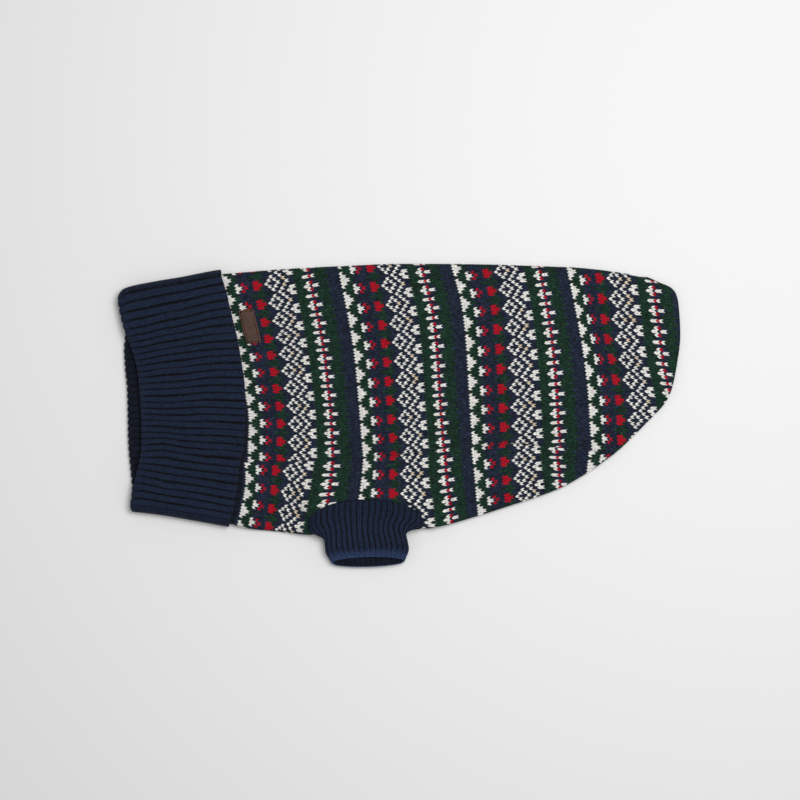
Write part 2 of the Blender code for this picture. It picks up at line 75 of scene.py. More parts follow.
# Where the stitches lie on the laid garment: a course, its first wale, and the place of that
# wale and of every twelfth one on from it.
BACK_STEP = 12
BACK_STITCHES = (
    (28, 0, ((-172.5, 133.5), (-164.3, 96.4), (-157.5, 64.3), (-151.8, 32.9), (-146, -0.1),
             (-146.4, -32.6))),
    (49, 0, ((-111.8, 144.7), (-103.7, 106.5), (-96.9, 71.9), (-91.9, 36.9), (-87.7, 0.3),
             (-86.7, -38.1))),
    (68, 6, ((-54.2, 134.9), (-46.1, 95.4), (-40.4, 59.3), (-36.9, 21.4), (-33.9, -16.1),
             (-30.7, -52.1))),
    (108, 6, ((57.5, 146.4), (66.7, 111.3), (71.3, 72.4), (73.7, 32.9), (76, -5.1),
              (78.8, -43.1))),
    (138, 12, ((147.2, 140.5), (154.6, 102.5), (160, 63.4), (163.6, 21.2), (165.8, -16.3),
               (169, -53.6))),
    (148, 12, ((172.6, 143), (180.4, 104.9), (187.6, 65.9), (193.2, 22.9), (195.7, -14.1),
               (198.7, -51))),
    (157.7, 15, ((200.2, 136.8), (205.2, 95.8), (212.4, 55.9), (219.7, 14.8),
                 (221.7, -25.1))),
    (176, 15, ((253.5, 133.9), (259, 93.9), (264.2, 50.9), (272.7, 11.9), (275.7, -25),
               (278.7, -63))),
)

# One repeat, course by course from the neck. The letters are the yarns of wales 6, 1, 2 and 3;
# wales 5 and 4 mirror 1 and 2. n is navy, g green, w white and r red.
CHART = (
    "nnnw nnwn nwnn nnwn wnnw nwnn nnwn wnnw wwnn nwnn "
    "gggg gggg gggg wggw wwnw nrnr wnnw wngg nggg gggg "
    "gggg gngn nnnn nnnn nnnn nnnn wwwg wwgg wggg gggg "
    "gnww nnnw nnrn nnnr nnnn gnnn gnrr ggrr gggr gnnn"
).split()
YARNS = {"n": (35, 43, 62), "g": (28, 56, 42), "w": (240, 238, 233), "r": (178, 16, 38)}
# How much of the stitch's own random shade a yarn takes, how far its flecks vary, and the painted
# shade and light on its loops: how bright it is down between the loops and how much brighter on
# top of them.
PALE_YARN = (0.35, 0.03, 0.55, 0.5)
DARK_YARN = (1.0, 0.34, 0.42, 0.64)
FLECK_RANGE = (0.35, 2.0)
SHADE_SPREAD = 0.14  # how far the shade varies from one stitch to the next
SHADE_TABLE = 220  # stitches each way in the table of shades, which starts at FIRST_WALE
FIRST_WALE = -60
CREAM_YARN = (222, 205, 176)  # here and there in the lattice, instead of white
CREAM_COURSES = (5, 9)
CREAM_SHARE = 0.35

STITCH_RELIEF = 0.75
UNDERSIDE_RELIEF = 0.3
V_LEAD = -0.9  # a stitch's point, in courses from its own
V_DEPTH = 0.7  # and how far its arms start behind the point
V_HEIGHTS = ((0.0, 0.25, 0.5), (0.25, 1.0, 0.0))  # the yarn's height from a wale's middle out
LOOP_DIP = 0.42  # how much of that height is left where one loop passes under the next
MEAN_HEIGHT = 0.45
FOLD_OVERLAP = 1.5  # wales that the upper layer runs on round a fold
FOLD_COURSES = (-8.0, 14.0, 2.0)  # where a fold is read: from, past the table, and the step
SEAM_TROUGH = (0.9, 1.7)  # depth and half width
TRIM_PULL = 3.6  # how far a point moves onto the cut, on a grid of one point a course
RIM_STEPS = ((0.22, 0.07), (0.6, 0.05), (1.0, -0.2))  # down and out, in shares of the wall
CALM_SPINE = 16.0  # the creases die away this near the spine

# Soft creases in the upper layer: two ends, half width and height, in millimetres, and the share
# of its length over which each end fades.
CREASE_END = 0.25
CREASES = (
    ((-86, -96, -112, -52), 9.0, 0.9), ((-62, -82, -74, -40), 7.0, -0.6),
    ((24, -100, 62, -64), 10.0, 1.0), ((-20, -80, -6, -30), 9.0, 0.6),
    ((-140, 60, -98, 92), 12.0, 0.7), ((-128, -20, -84, 4), 11.0, -0.6),
    ((10, 60, 88, 84), 15.0, 0.7), ((120, -10, 196, 18), 14.0, 0.8),
    ((150, 90, 226, 74), 13.0, -0.6), ((-40, 118, 40, 126), 10.0, 0.6),
    ((232, 8, 256, 62), 11.0, 0.7), ((60, 10, 100, -16), 12.0, -0.5),
)


def curve(knots, values, t):
    """A smooth curve through the values at the knots, read at t, and straight beyond its ends."""
    knots, values, t = np.asarray(knots, float), np.asarray(values, float), np.asarray(t, float)
    k = np.clip(np.searchsorted(knots, t, side="right") - 1, 0, len(knots) - 2)
    lo = np.maximum(np.arange(len(knots)) - 1, 0)
    hi = np.minimum(np.arange(len(knots)) + 1, len(knots) - 1)
    flat = (-1,) + (1,) * (values.ndim - 1)
    slopes = (values[hi] - values[lo]) / (knots[hi] - knots[lo]).reshape(flat)
    span = knots[k + 1] - knots[k]
    deep = t.shape + (1,) * (values.ndim - 1)
    s, span = ((t - knots[k]) / span).reshape(deep), span.reshape(deep)
    return hermite(values[k], values[k + 1], slopes[k] * span, slopes[k + 1] * span, s)


def hermite(a, b, m, n, s):
    """From a with slope m at s = 0 to b with slope n at s = 1, and straight outside them."""
    t = np.clip(s, 0.0, 1.0)
    made = a * (1 - 3 * t ** 2 + 2 * t ** 3) + b * (3 * t ** 2 - 2 * t ** 3)
    made = made + m * t * (1 - t) ** 2 - n * t ** 2 * (1 - t)
    return made + m * np.minimum(s, 0.0) + n * np.maximum(s - 1.0, 0.0)


def smooth_step(x):
    x = np.clip(x, 0.0, 1.0)
    return x * x * (3.0 - 2.0 * x)


def column(points, x):
    """The second number of a table, read smoothly at the first."""
    return curve([p[0] for p in points], [p[1] for p in points], x)


def place_stitch(table, step, course, wale):
    """Places on the laid garment of stitches given by course and wale."""
    courses = np.array([row[0] for row in table], float)
    lines = np.stack([curve(first + step * np.arange(len(row)), row, wale)
                      for _, first, row in table])
    k = np.clip(np.searchsorted(courses, course, side="right") - 1, 0, len(courses) - 2)
    here, last = np.arange(len(course)), len(courses) - 1
    span = courses[k + 1] - courses[k]

    def slope(i):
        lo, hi = np.maximum(i - 1, 0), np.minimum(i + 1, last)
        return (lines[hi, here] - lines[lo, here]) * (span / (courses[hi] - courses[lo]))[:, None]

    s = ((course - courses[k]) / span)[:, None]
    return hermite(lines[k, here], lines[k + 1, here], slope(k), slope(k + 1), s)


def creases(x, y):
    """How much the soft creases lift the upper layer."""
    lift = np.zeros_like(x)
    for (x0, y0, x1, y1), width, height in CREASES:
        along = ((x - x0) * (x1 - x0) + (y - y0) * (y1 - y0)) / ((x1 - x0) ** 2 + (y1 - y0) ** 2)
        off = np.hypot(x - x0 - along * (x1 - x0), y - y0 - along * (y1 - y0))
        start = smooth_step((along + CREASE_END) / (2 * CREASE_END))
        end = smooth_step((1.0 + CREASE_END - along) / (2 * CREASE_END))
        lift += height * np.exp(-((off / width) ** 2)) * start * end
    return lift


def knit_grid(courses, wales, per_course, per_wale):
    """A plain grid of jersey. Returns it with each point's course and wale, the height of the yarn
    there, and the course that its colour and its UV map count in."""
    rows, columns = (courses[1] - courses[0]) * per_course, (wales[1] - wales[0]) * per_wale
    bm = bmesh.new()
    bmesh.ops.create_grid(bm, x_segments=rows, y_segments=columns, size=0.5)
    spots = np.array([v.co for v in bm.verts])
    base = courses[0] + np.rint((spots[:, 0] + 0.5) * rows) / per_course
    across = np.rint((spots[:, 1] + 0.5) * columns) / per_wale
    wale = wales[0] - 0.5 + across
    off_centre = 0.5 - np.abs(across - np.rint(across))
    course = base + V_LEAD + V_DEPTH * 2.0 * off_centre
    leg = np.interp(off_centre, *V_HEIGHTS)
    height = leg * np.where(np.isclose(base % 1.0, 0.0), LOOP_DIP, 1.0)
    return bm, course, wale, height, base


def colour_stitches(bm, base, wale, height, seed):
    """Gives each face the yarn of its stitch, with painted shade between the loops and painted
    light on their tops, and the UV map that counts courses and wales."""
    rng = np.random.default_rng(seed)
    shade = rng.normal(1.0, SHADE_SPREAD, (SHADE_TABLE, SHADE_TABLE))
    cream = rng.random((SHADE_TABLE, SHADE_TABLE)) < CREAM_SHARE
    palette = {letter: linear(rgb) for letter, rgb in YARNS.items()}
    uv_layer = bm.loops.layers.uv.new("knit")
    yarn_and_shade_layer = bm.loops.layers.float_color.new("yarn")
    for face in bm.faces:
        corners = [loop.vert.index for loop in face.loops]
        c, w = int(sum(base[corners]) / 4), int(round(sum(wale[corners]) / 4))
        spot, row = w % 6, (c - 1) % len(CHART)
        letter = CHART[row][min(spot, 6 - spot)]
        colour = palette[letter]
        lattice = CREAM_COURSES[0] <= row + 1 <= CREAM_COURSES[1]
        if letter == "w" and lattice and spot in (2, 3, 4) and cream[c, w - FIRST_WALE]:
            colour = linear(CREAM_YARN)
        own, flecks, valley_shade, crown = PALE_YARN if letter in "wr" else DARK_YARN
        tone = 1.0 + (shade[c, w - FIRST_WALE] - 1.0) * own
        tone *= float(np.clip(rng.normal(1.0, flecks), *FLECK_RANGE))
        # Painted shade: each corner's yarn colour is darker down between the loops and lighter on
        # their tops.
        for loop, i in zip(face.loops, corners):
            tone_and_shade = tone * (valley_shade + crown * height[i])
            loop[uv_layer].uv = (base[i], wale[i])
            loop[yarn_and_shade_layer] = (colour[0] * tone_and_shade, colour[1] * tone_and_shade, colour[2] * tone_and_shade, 1.0)


def linear(rgb):
    """A colour as it looks on screen, in the renderer's own scale."""
    return [((v / 255 + 0.055) / 1.055) ** 2.4 for v in rgb]


def tuck(radius):
    """How much longer the cloth round a fold is than the fold looks from above."""
    return radius * (math.pi / 2 - 1)


def fold_wales(stitches, edge, radius, side, wales):
    """The wale that lies on a fold's outermost line, course by course."""
    before, after, step = FOLD_COURSES
    courses = np.arange(stitches[0][0][0] + before, stitches[0][-1][0] + after, step)
    found = []
    for c in courses:
        spots = place_stitch(*stitches, np.full(len(wales), c), wales)
        past = side * (column(edge, spots[:, 0]) - spots[:, 1]) + tuck(radius)
        order = np.argsort(past)
        found.append(np.interp(0.0, past[order], wales[order]))
    return courses, np.array(found)


def lay_folded(stitches, edge, side, layers, radius, fold, course, wale, far, open_from=None):
    """Places and normals of points of a panel that is folded along one edge. Past open_from the
    panel isn't folded any more, and its stitches just lie where the table puts them."""
    crease = np.interp(course, *fold)
    beyond = (wale - crease) * side < 0
    spots = place_stitch(*stitches, course, crease + side * np.abs(wale - crease))
    if open_from is not None:
        flat = place_stitch(*stitches, course, wale)
        spots = np.where(flat[:, :1] > open_from, flat, spots)
    x, y = spots[:, 0], spots[:, 1]
    rim = column(edge, x)
    reach = np.maximum(side * (rim - y) + tuck(radius), 0.0)
    if open_from is not None:
        reach = np.where(x > open_from, FAR_OFF, reach)
        beyond = beyond & (x <= open_from)
    angle = np.minimum(reach / radius, math.pi / 2)
    y = np.where(reach < radius * math.pi / 2, rim - side * radius * (1 - np.cos(angle)), y)
    under = ~beyond if far else beyond
    top, bottom = layers(x, y)
    middle = (top + bottom) / 2
    z = middle + np.where(under, -1.0, 1.0) * (top - middle) * np.sin(angle)
    upright = np.where(under, -1, 1) * np.sin(angle)
    normal = np.stack([np.zeros_like(x), side * np.cos(angle), upright], 1)
    return np.stack([x, y, z], 1), normal


def edge_rule(distance, x, y):
    """How far inside a cut each point lies, with the point of the cut that belongs to it."""
    return np.stack([distance, x, y], 1)


def trim_to(bm, spots, rules, shown, pull):
    """Keeps the faces inside every cut, and pulls those points of the new edge that lie less than
    a given way from the nearest cut onto it."""
    rules = np.stack(rules)
    inside = (rules[:, :, 0] > 0).all(0) & shown
    nearest = np.abs(rules[:, :, 0]).argmin(0)
    chosen = rules[nearest, np.arange(len(spots))]
    numbers = {v: v.index for v in bm.verts}
    gone = [f for f in bm.faces if sum(inside[v.index] for v in f.verts) < 2]
    bmesh.ops.delete(bm, geom=gone, context="FACES")
    for vert in bm.verts:
        if vert.is_boundary and abs(chosen[numbers[vert], 0]) < pull:
            vert.co.x, vert.co.y = chosen[numbers[vert], 1:] * MM


def turn_edge(bm, drop):
    """Turns the cut edge in, as a rounded rim in the edge's own yarns and their painted shade that
    reaches the fabric's inner side."""
    facing = bm.verts.layers.float_vector["facing"]
    top = bm.verts.layers.float_vector.new("top")
    side = bm.verts.layers.float_vector.new("side")
    edge_yarn_and_shade = bm.verts.layers.float_vector.new("edge_yarn_and_shade")
    yarn = bm.loops.layers.float_color["yarn"]
    ring = [e for e in bm.edges if e.is_boundary]
    for edge in ring:
        middle = (edge.verts[0].co + edge.verts[1].co) / 2
        away = (middle - edge.link_faces[0].calc_center_median()).normalized()
        for vert in edge.verts:
            vert[top] = vert.co
            vert[side] = vert[side] + away
            # The edge's yarn colour, with its painted loop shade, carried onto the rim.
            vert[edge_yarn_and_shade] = np.mean([loop[yarn][:3] for loop in vert.link_loops], 0)
    for depth, bulge in RIM_STEPS:
        made = bmesh.ops.extrude_edge_only(bm, edges=ring)["geom"]
        ring = [g for g in made if isinstance(g, bmesh.types.BMEdge)]
        for vert in [g for g in made if isinstance(g, bmesh.types.BMVert)]:
            out = vert[side].normalized() * bulge - vert[facing] * depth
            vert.co = vert[top] + out * drop * MM
        for face in {f for e in ring for f in e.link_faces}:
            for loop in face.loops:
                loop[yarn] = (*loop.vert[edge_yarn_and_shade], 1.0)
    for layer in (top, side, edge_yarn_and_shade):
        bm.verts.layers.float_vector.remove(layer)


def finish_cloth(bm, name, material):
    """Makes a piece of the mesh, smooth, with its faces pointing out."""
    if "facing" in bm.verts.layers.float_vector:
        bm.verts.layers.float_vector.remove(bm.verts.layers.float_vector["facing"])
    mesh = bpy.data.meshes.new(name)
    bm.to_mesh(mesh)
    bm.free()
    mesh.materials.append(material)
    mesh.shade_smooth()
    piece = bpy.data.objects.new(name, mesh)
    bpy.context.scene.collection.objects.link(piece)
    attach(piece, "root")
    return piece


def knit_panel(name, grid, lay, rules_at, relief, seed, wall, material):
    """One layer of jersey: laid, raised stitch by stitch, coloured, trimmed and turned in."""
    bm, course, wale, height, base = knit_grid(*grid)
    spots, normals, shown = lay(course, wale)
    raised = spots + normals * ((height - MEAN_HEIGHT) * relief)[:, None]
    raised[:, 2] = np.maximum(raised[:, 2], FLOOR_CLEAR)
    facing = bm.verts.layers.float_vector.new("facing")
    for vert in bm.verts:
        vert.co = raised[vert.index] * MM
        vert[facing] = normals[vert.index]
    if normals[len(normals) // 2, 2] < 0:
        bmesh.ops.reverse_faces(bm, faces=bm.faces)
    colour_stitches(bm, base, wale, height, seed)
    trim_to(bm, spots, rules_at(spots[:, 0], spots[:, 1]), shown, TRIM_PULL / grid[2])
    turn_edge(bm, wall)
    return finish_cloth(bm, name, material)


def new_finish(name, **values):
    """A new material and its nodes, its way to link them and its shader, with values set on it."""
    made = bpy.data.materials.new(name)
    made.use_nodes = True
    shader = made.node_tree.nodes["Principled BSDF"]
    set_inputs(shader, values)
    return made, made.node_tree.nodes, made.node_tree.links.new, shader


def set_inputs(node, values):
    """Sets a node's inputs by name, an underscore standing for a space."""
    for name, value in values.items():
        node.inputs[name.replace("_", " ")].default_value = value


def add_node(nodes, kind, **values):
    node = nodes.new("ShaderNode" + kind)
    set_inputs(node, values)
    return node


def add_tint(nodes):
    """A node that makes a colour brighter or darker."""
    tint = nodes.new("ShaderNodeVectorMath")
    tint.operation = "SCALE"
    return tint


def jersey(name):
    """Brushed wool jersey: the yarn's colour with its painted loop shade, heathered, under a fine
    fuzz.
    """
    made, nodes, link, shader = new_finish(name, Roughness=0.92, Specular_IOR_Level=0.15,
                                           Sheen_Weight=0.04, Sheen_Roughness=0.5)
    # The yarn attribute holds each stitch's yarn colour with painted shade between its loops and
    # painted light on their tops.
    yarn = add_node(nodes, "Attribute")
    yarn.attribute_name = "yarn"
    place = add_node(nodes, "TexCoord")
    heather = add_node(nodes, "TexNoise", Scale=900.0, Detail=3.0)
    levels = add_node(nodes, "MapRange", From_Min=0.3, From_Max=0.7, To_Min=0.6, To_Max=1.4)
    tint = add_tint(nodes)
    fuzz = add_node(nodes, "TexNoise", Scale=2600.0, Detail=2.0)
    bump = add_node(nodes, "Bump", Strength=0.5, Distance=0.0003)
    link(place.outputs["Object"], heather.inputs["Vector"])
    link(place.outputs["Object"], fuzz.inputs["Vector"])
    link(heather.outputs["Fac"], levels.inputs["Value"])
    link(yarn.outputs["Color"], tint.inputs[0])
    link(levels.outputs["Result"], tint.inputs["Scale"])
    link(tint.outputs["Vector"], shader.inputs["Base Color"])
    link(fuzz.outputs["Fac"], bump.inputs["Height"])
    link(bump.outputs["Normal"], shader.inputs["Normal"])
    return made


def neck_rise(x, y):
    return NECK_LIFT * (1.0 - smooth_step((x - column(NECK_LINE, y)) / NECK_RAMP))


def seam_dip(x, y):
    """How deep the cloth is drawn down along the side seam."""
    return SEAM_TROUGH[0] * np.exp(-((y - column(SIDE_SEAM, x)) / SEAM_TROUGH[1]) ** 2)


def back_layers(x, y):
    """The outer faces of the back's upper and lower layer."""
    rise = neck_rise(x, y)
    dip = seam_dip(x, y)
    calm = smooth_step((column(SPINE_EDGE, x) - y) / CALM_SPINE)
    return 2 * BODY_WALL + 2 * GAP + rise - dip + creases(x, y) * calm, rise


def across_edge(table, y, x, out):
    """Distance inside an edge given as x by y, and the edge's point level with each place."""
    line = column(table, y)
    slope = column(table, y + 0.5) - column(table, y - 0.5)
    return edge_rule(out * (line - x) / np.sqrt(1 + slope ** 2), line, y)


def back_rules(x, y):
    seam = column(SIDE_SEAM, x) + GAP / 2
    return [
        across_edge(NECK_LINE, y, x, -1.0),
        across_edge(TAIL_HEM, y, x, 1.0),
        edge_rule(y - seam, np.minimum(x, SIDE_SEAM[-1][0]), seam),
    ]


back_stitches = (BACK_STITCHES, BACK_STEP)
back_radius = BODY_WALL + GAP
back_fold = fold_wales(back_stitches, SPINE_EDGE, back_radius, 1, np.arange(-9.0, 26.0, 0.5))


def lay_back(course, wale, far=False):
    spots, normals = lay_folded(back_stitches, SPINE_EDGE, 1, back_layers, back_radius, back_fold,
                                course, wale, far)
    past = np.interp(course, *back_fold) - wale
    return spots, normals, past < (0.0 if far else FOLD_OVERLAP)


knit = jersey("fair_isle_jersey")
back_knit = knit_panel("back_knit", ((24, 187), (-6, 84), 2, 4), lay_back, back_rules,
                       STITCH_RELIEF, 3, BODY_WALL, knit)
back_under = knit_panel("back_knit_underside", ((24, 187), (-6, 84), 1, 2),
                        lambda c, w: lay_back(c, w, True), back_rules,
                        UNDERSIDE_RELIEF, 3, BODY_WALL, knit)
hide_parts("back_panel")


# ---------------------------------------------------------------------------------------------
# The chest panel: a second piece of the same jersey, folded along the belly between the two leg
# holes, sewn to the back along each side, and cut away to the tail hem behind the legs.

BELLY_EDGE = (
    (-165, -110), (-149, -113.7), (-124, -116.4), (-94, -119.6), (-79, -120.4), (-64, -124),
    (-49, -125.6), (-19, -125.6), (-2, -121), (7, -116.3), (19, -113.4), (31, -113.4),
)
BELLY_HEM = ((31, -113.4), (55, -108), (110, -91), (160, -73.5), (191, -56), (214, -39.6))
HEM_EASE = 3.0  # the layers stop overlapping this far before the fold opens into the hem
LEG_WALL = 2.1
BELLY_LIFT = (3.6, 3.9)  # how far the cuffs lift the upper and the lower layer along the belly
BELLY_START = (-161, -92)  # where the belly meets the neck seam
BELLY_RAMP = (-119.0, 25.0)  # where that lift begins, and over what length
HOLE_LEFT = (-90.4, -107.0)
HOLE_RIGHT = (23.8, -106.4)
HOLE_RISE = 22.5
HOLE_SAG = 2.5
HOLE_LIFT = 4.5
HOLE_CORNER = math.radians(40)
LEG_RAMP = 32.0

# As for the back, with the place of every sixth wale.
CHEST_STEP = 6
CHEST_STITCHES = (
    (28, -6, ((-150.3, -45.6), (-149.3, -63.6), (-150.8, -79.1), (-154.3, -96.1))),
    (38, -6, ((-122.3, -45.6), (-123.3, -65.6), (-125.3, -85.1), (-128.3, -103.1))),
    (50, -6, ((-87.3, -51.1), (-89.8, -69.1), (-93.3, -91.1), (-97.3, -112.1))),
    (58, -6, ((-60.5, -51.1), (-62.3, -69.1), (-65, -88.5), (-68.3, -107.5))),
    (68, -6, ((-32.3, -51.1), (-33.9, -69.1), (-36.3, -86.1), (-39.3, -103.1))),
    (89, -6, ((24.7, -48.1), (25.7, -68.1), (29.2, -89.1), (30.7, -107.6))),
    (98, -6, ((52.1, -44.5), (53.7, -64.5), (56.2, -84.1), (57.8, -102.1))),
    (108, -6, ((77.2, -40.6), (79.5, -60.5), (80.9, -78.6), (82.7, -96.1))),
    (130, -6, ((139.7, -34.1), (140.9, -51.1), (143.1, -69.3), (145.7, -87.1))),
    (138, -6, ((163.5, -34.3), (165.4, -51.6), (166.5, -69.6), (168, -87.6))),
    (148, -6, ((195.0, -35.1), (192.4, -52.1), (189.7, -70.1), (187.7, -88.1))),
)


def belly_ramp(x):
    return smooth_step((x - BELLY_RAMP[0]) / BELLY_RAMP[1])


def leg_line():
    """Points along the belly from the neck to the hem by way of the leg hole's upper edge, each
    with how far the upper and the lower layer rise there."""
    made = []
    for x in np.linspace(BELLY_START[0], HOLE_LEFT[0], 24):
        rise = float(belly_ramp(x))
        y = np.interp(x, (BELLY_START[0], HOLE_LEFT[0]), (BELLY_START[1], HOLE_LEFT[1]))
        made.append((x, y, BELLY_LIFT[0] * rise, BELLY_LIFT[1] * rise))
    for theta in np.linspace(0.0, math.pi, 61):
        share = (1 - math.cos(theta)) / 2
        corner = float(smooth_step(min(theta, math.pi - theta) / HOLE_CORNER))
        x = HOLE_LEFT[0] + (HOLE_RIGHT[0] - HOLE_LEFT[0]) * share
        y = HOLE_LEFT[1] + (HOLE_RIGHT[1] - HOLE_LEFT[1]) * share + HOLE_RISE * math.sin(theta)
        made.append((x, y, BELLY_LIFT[0] + HOLE_LIFT * corner, BELLY_LIFT[1] * (1 - corner)))
    for share in np.linspace(0.0, 1.0, 6):
        x = HOLE_RIGHT[0] + (BELLY_HEM[0][0] - HOLE_RIGHT[0]) * share
        y = HOLE_RIGHT[1] + (BELLY_HEM[0][1] - HOLE_RIGHT[1]) * share
        made.append((x, y, *BELLY_LIFT))
    return np.array(made)


leg_points = leg_line()


def chest_layers(x, y):
    """The outer faces of the chest's upper and lower layer."""
    gap = np.hypot(x[:, None] - leg_points[:, 0], y[:, None] - leg_points[:, 1])
    nearest = gap.argmin(1)
    line = leg_points[nearest]
    belly = np.array((BELLY_START, HOLE_LEFT, HOLE_RIGHT, BELLY_HEM[0]))
    strip = y < np.interp(x, belly[:, 0], belly[:, 1])
    fade = np.where(strip, 1.0, 1.0 - smooth_step(gap.min(1) / LEG_RAMP))
    ahead = belly_ramp(x)
    lift_up = np.where(strip, BELLY_LIFT[0] * ahead, line[:, 2] * fade)
    lift_down = np.where(strip, BELLY_LIFT[1] * ahead, line[:, 3] * fade)
    wall = BODY_WALL + (LEG_WALL - BODY_WALL) * np.minimum(lift_up / BELLY_LIFT[0], 1.0)
    rise = neck_rise(x, y)
    dip = seam_dip(x, y)
    top = BODY_WALL + 2 * GAP + rise + lift_up + wall - dip + creases(x, y) * (1 - strip)
    return top, BODY_WALL + rise + lift_down - wall


def hole_rule(x, y):
    """Distance outside the leg hole, and the nearest point of its edge along a ray."""
    centre_x, half = (HOLE_LEFT[0] + HOLE_RIGHT[0]) / 2, (HOLE_RIGHT[0] - HOLE_LEFT[0]) / 2
    chord = np.interp(x, (HOLE_LEFT[0], HOLE_RIGHT[0]), (HOLE_LEFT[1], HOLE_RIGHT[1]))
    tall = np.where(y > chord, HOLE_RISE, HOLE_SAG)
    round_it = np.maximum(np.hypot((x - centre_x) / half, (y - chord) / tall), 0.05)
    edge_x, edge_y = centre_x + (x - centre_x) / round_it, chord + (y - chord) / round_it
    away = np.hypot(x - edge_x, y - edge_y) * np.sign(round_it - 1)
    return edge_rule(away, edge_x, edge_y)


def chest_rules(x, y):
    seam = column(SIDE_SEAM, x) - GAP / 2
    hem = column(BELLY_HEM, x)
    slope = column(BELLY_HEM, x + 0.5) - column(BELLY_HEM, x - 0.5)
    behind = np.where(x > BELLY_HEM[0][0], (y - hem) / np.sqrt(1 + slope ** 2), FAR_OFF)
    short_of_end = np.minimum(x, SIDE_SEAM[-1][0])
    return [
        across_edge(NECK_LINE, y, x, -1.0),
        edge_rule(seam - y, short_of_end, seam),
        edge_rule(behind, short_of_end, hem),
        hole_rule(x, y),
    ]


chest_stitches = (CHEST_STITCHES, CHEST_STEP)
chest_radius = LEG_WALL + GAP
chest_fold = fold_wales(chest_stitches, BELLY_EDGE, chest_radius, -1, np.arange(0.0, 40.0, 0.5))


def lay_chest(course, wale, far=False):
    spots, normals = lay_folded(chest_stitches, BELLY_EDGE, -1, chest_layers, chest_radius,
                                chest_fold, course, wale, far, BELLY_HEM[0][0])
    past = wale - np.interp(course, *chest_fold)
    behind = spots[:, 0] > BELLY_HEM[0][0]
    near_hem = spots[:, 0] > BELLY_HEM[0][0] - HEM_EASE
    overlap = np.where(near_hem, 0.0, 0.0 if far else FOLD_OVERLAP)
    return spots, normals, behind | (past < overlap)


chest_knit = knit_panel("chest_knit", ((22, 168), (-9, 27), 2, 4), lay_chest, chest_rules,
                        STITCH_RELIEF, 5, LEG_WALL, knit)
chest_under = knit_panel("chest_knit_underside", ((22, 168), (-9, 27), 1, 2),
                         lambda c, w: lay_chest(c, w, True), chest_rules,
                         UNDERSIDE_RELIEF, 5, LEG_WALL, knit)
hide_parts("chest_panel")


# ---------------------------------------------------------------------------------------------
# The collar: a long tube of heavy navy rib, sewn to the neck and turned over once, outwards, so
# that its free edge lies on the body. Each rib is three wales wide and parts from the next in a
# narrow groove.

RIB_WALL = 3.0
COLLAR_TOP = ((-282, 120.5), (-273.4, 127), (-243.8, 133.5), (-216.3, 138.1), (-197.6, 141.9),
              (-180.9, 144.9), (-150, 148.6))
COLLAR_BOTTOM = ((-282, -95.6), (-266, -96.9), (-243.8, -99.2), (-216.3, -103.6),
                 (-188.3, -108.6), (-169.8, -112), (-150, -115.6))
COLLAR_LINES = (
    # share of the way down, near_fold_x, far_fold_x, free_edge_x
    (0.00, -281.0, -280.0, -178.0), (0.09, -278.0, -276.5, -172.3),
    (0.18, -273.4, -274.3, -167.3), (0.26, -267.2, -275.2, -162.5),
    (0.36, -261.6, -274.0, -158.2), (0.45, -259.5, -272.2, -155.2),
    (0.56, -257.8, -271.6, -154.6), (0.68, -257.2, -271.2, -156.3),
    (0.76, -258.0, -270.3, -160.2), (0.84, -261.6, -268.6, -162.4),
    (0.92, -266.0, -267.4, -165.6), (1.00, -268.5, -268.5, -169.5),
)
FOLD_LENGTH = 224.0  # from side fold to side fold, along the fold and along the free edge
EDGE_LENGTH = 255.0
COLLAR_MIDDLE = 2 * (GAP + RIB_WALL)
COLLAR_FACE = 6.45  # half the height of the collar's outer faces, of its lining and of its inside
COLLAR_LINING = 3.75
COLLAR_INSIDE = 0.45
TURN_RADIUS = 3.15
TURN_MIDDLE = 3.45
COLLAR_RIBS = 32
RIB_DRIFT_X = (-254.3, -234.3, -214.3, -194.3, -177.3)
RIB_DRIFT = (
    # share of the way down, and how far ribs lie below an even spread at each of the x above
    (0.000, 0.0, 0.0, 0.0, 0.0, 0.0), (0.125, 9.6, 7.2, 6.0, 3.8, 2.7),
    (0.250, 9.2, 7.0, 5.6, 4.7, 4.8), (0.375, 6.5, 5.5, 5.0, 3.5, 3.0),
    (0.500, 4.0, 5.2, 3.8, 2.4, 2.8), (0.625, 1.0, 1.0, 2.0, 1.3, 1.0),
    (0.750, -1.0, -3.0, -1.0, -0.3, -1.0), (0.875, -3.0, 0.0, 0.0, 0.0, 1.0),
    (1.000, 0.0, 0.0, 0.0, 0.0, 0.0),
)
COLLAR_CREASE = 24  # the groove that a crease in the collar deepens, and by how much
CREASE_DEPTH = 1.1
COLLAR_COURSES = 40
COLLAR_COURSE = 2.8  # a course's length
FAR_PHASES = (0.0, 0.14, 0.3, 0.5, 0.7, 0.86)  # points across each rib of the far layer
SIDE_FOLD_POINTS = 10
RIB_NAVY = (22, 31, 50)
RIB_SHADE_LEVELS = (0.24, 1.16)  # painted shade and light: how bright the navy is in a groove and on a rib
RIB_WALES = 3
WALE_POINTS = 4
GROOVE = 0.14  # half the groove's share of a rib
GROOVE_FOOT = 0.55
RIB_DIP = 0.45  # how much of a stitch's height is left between two courses


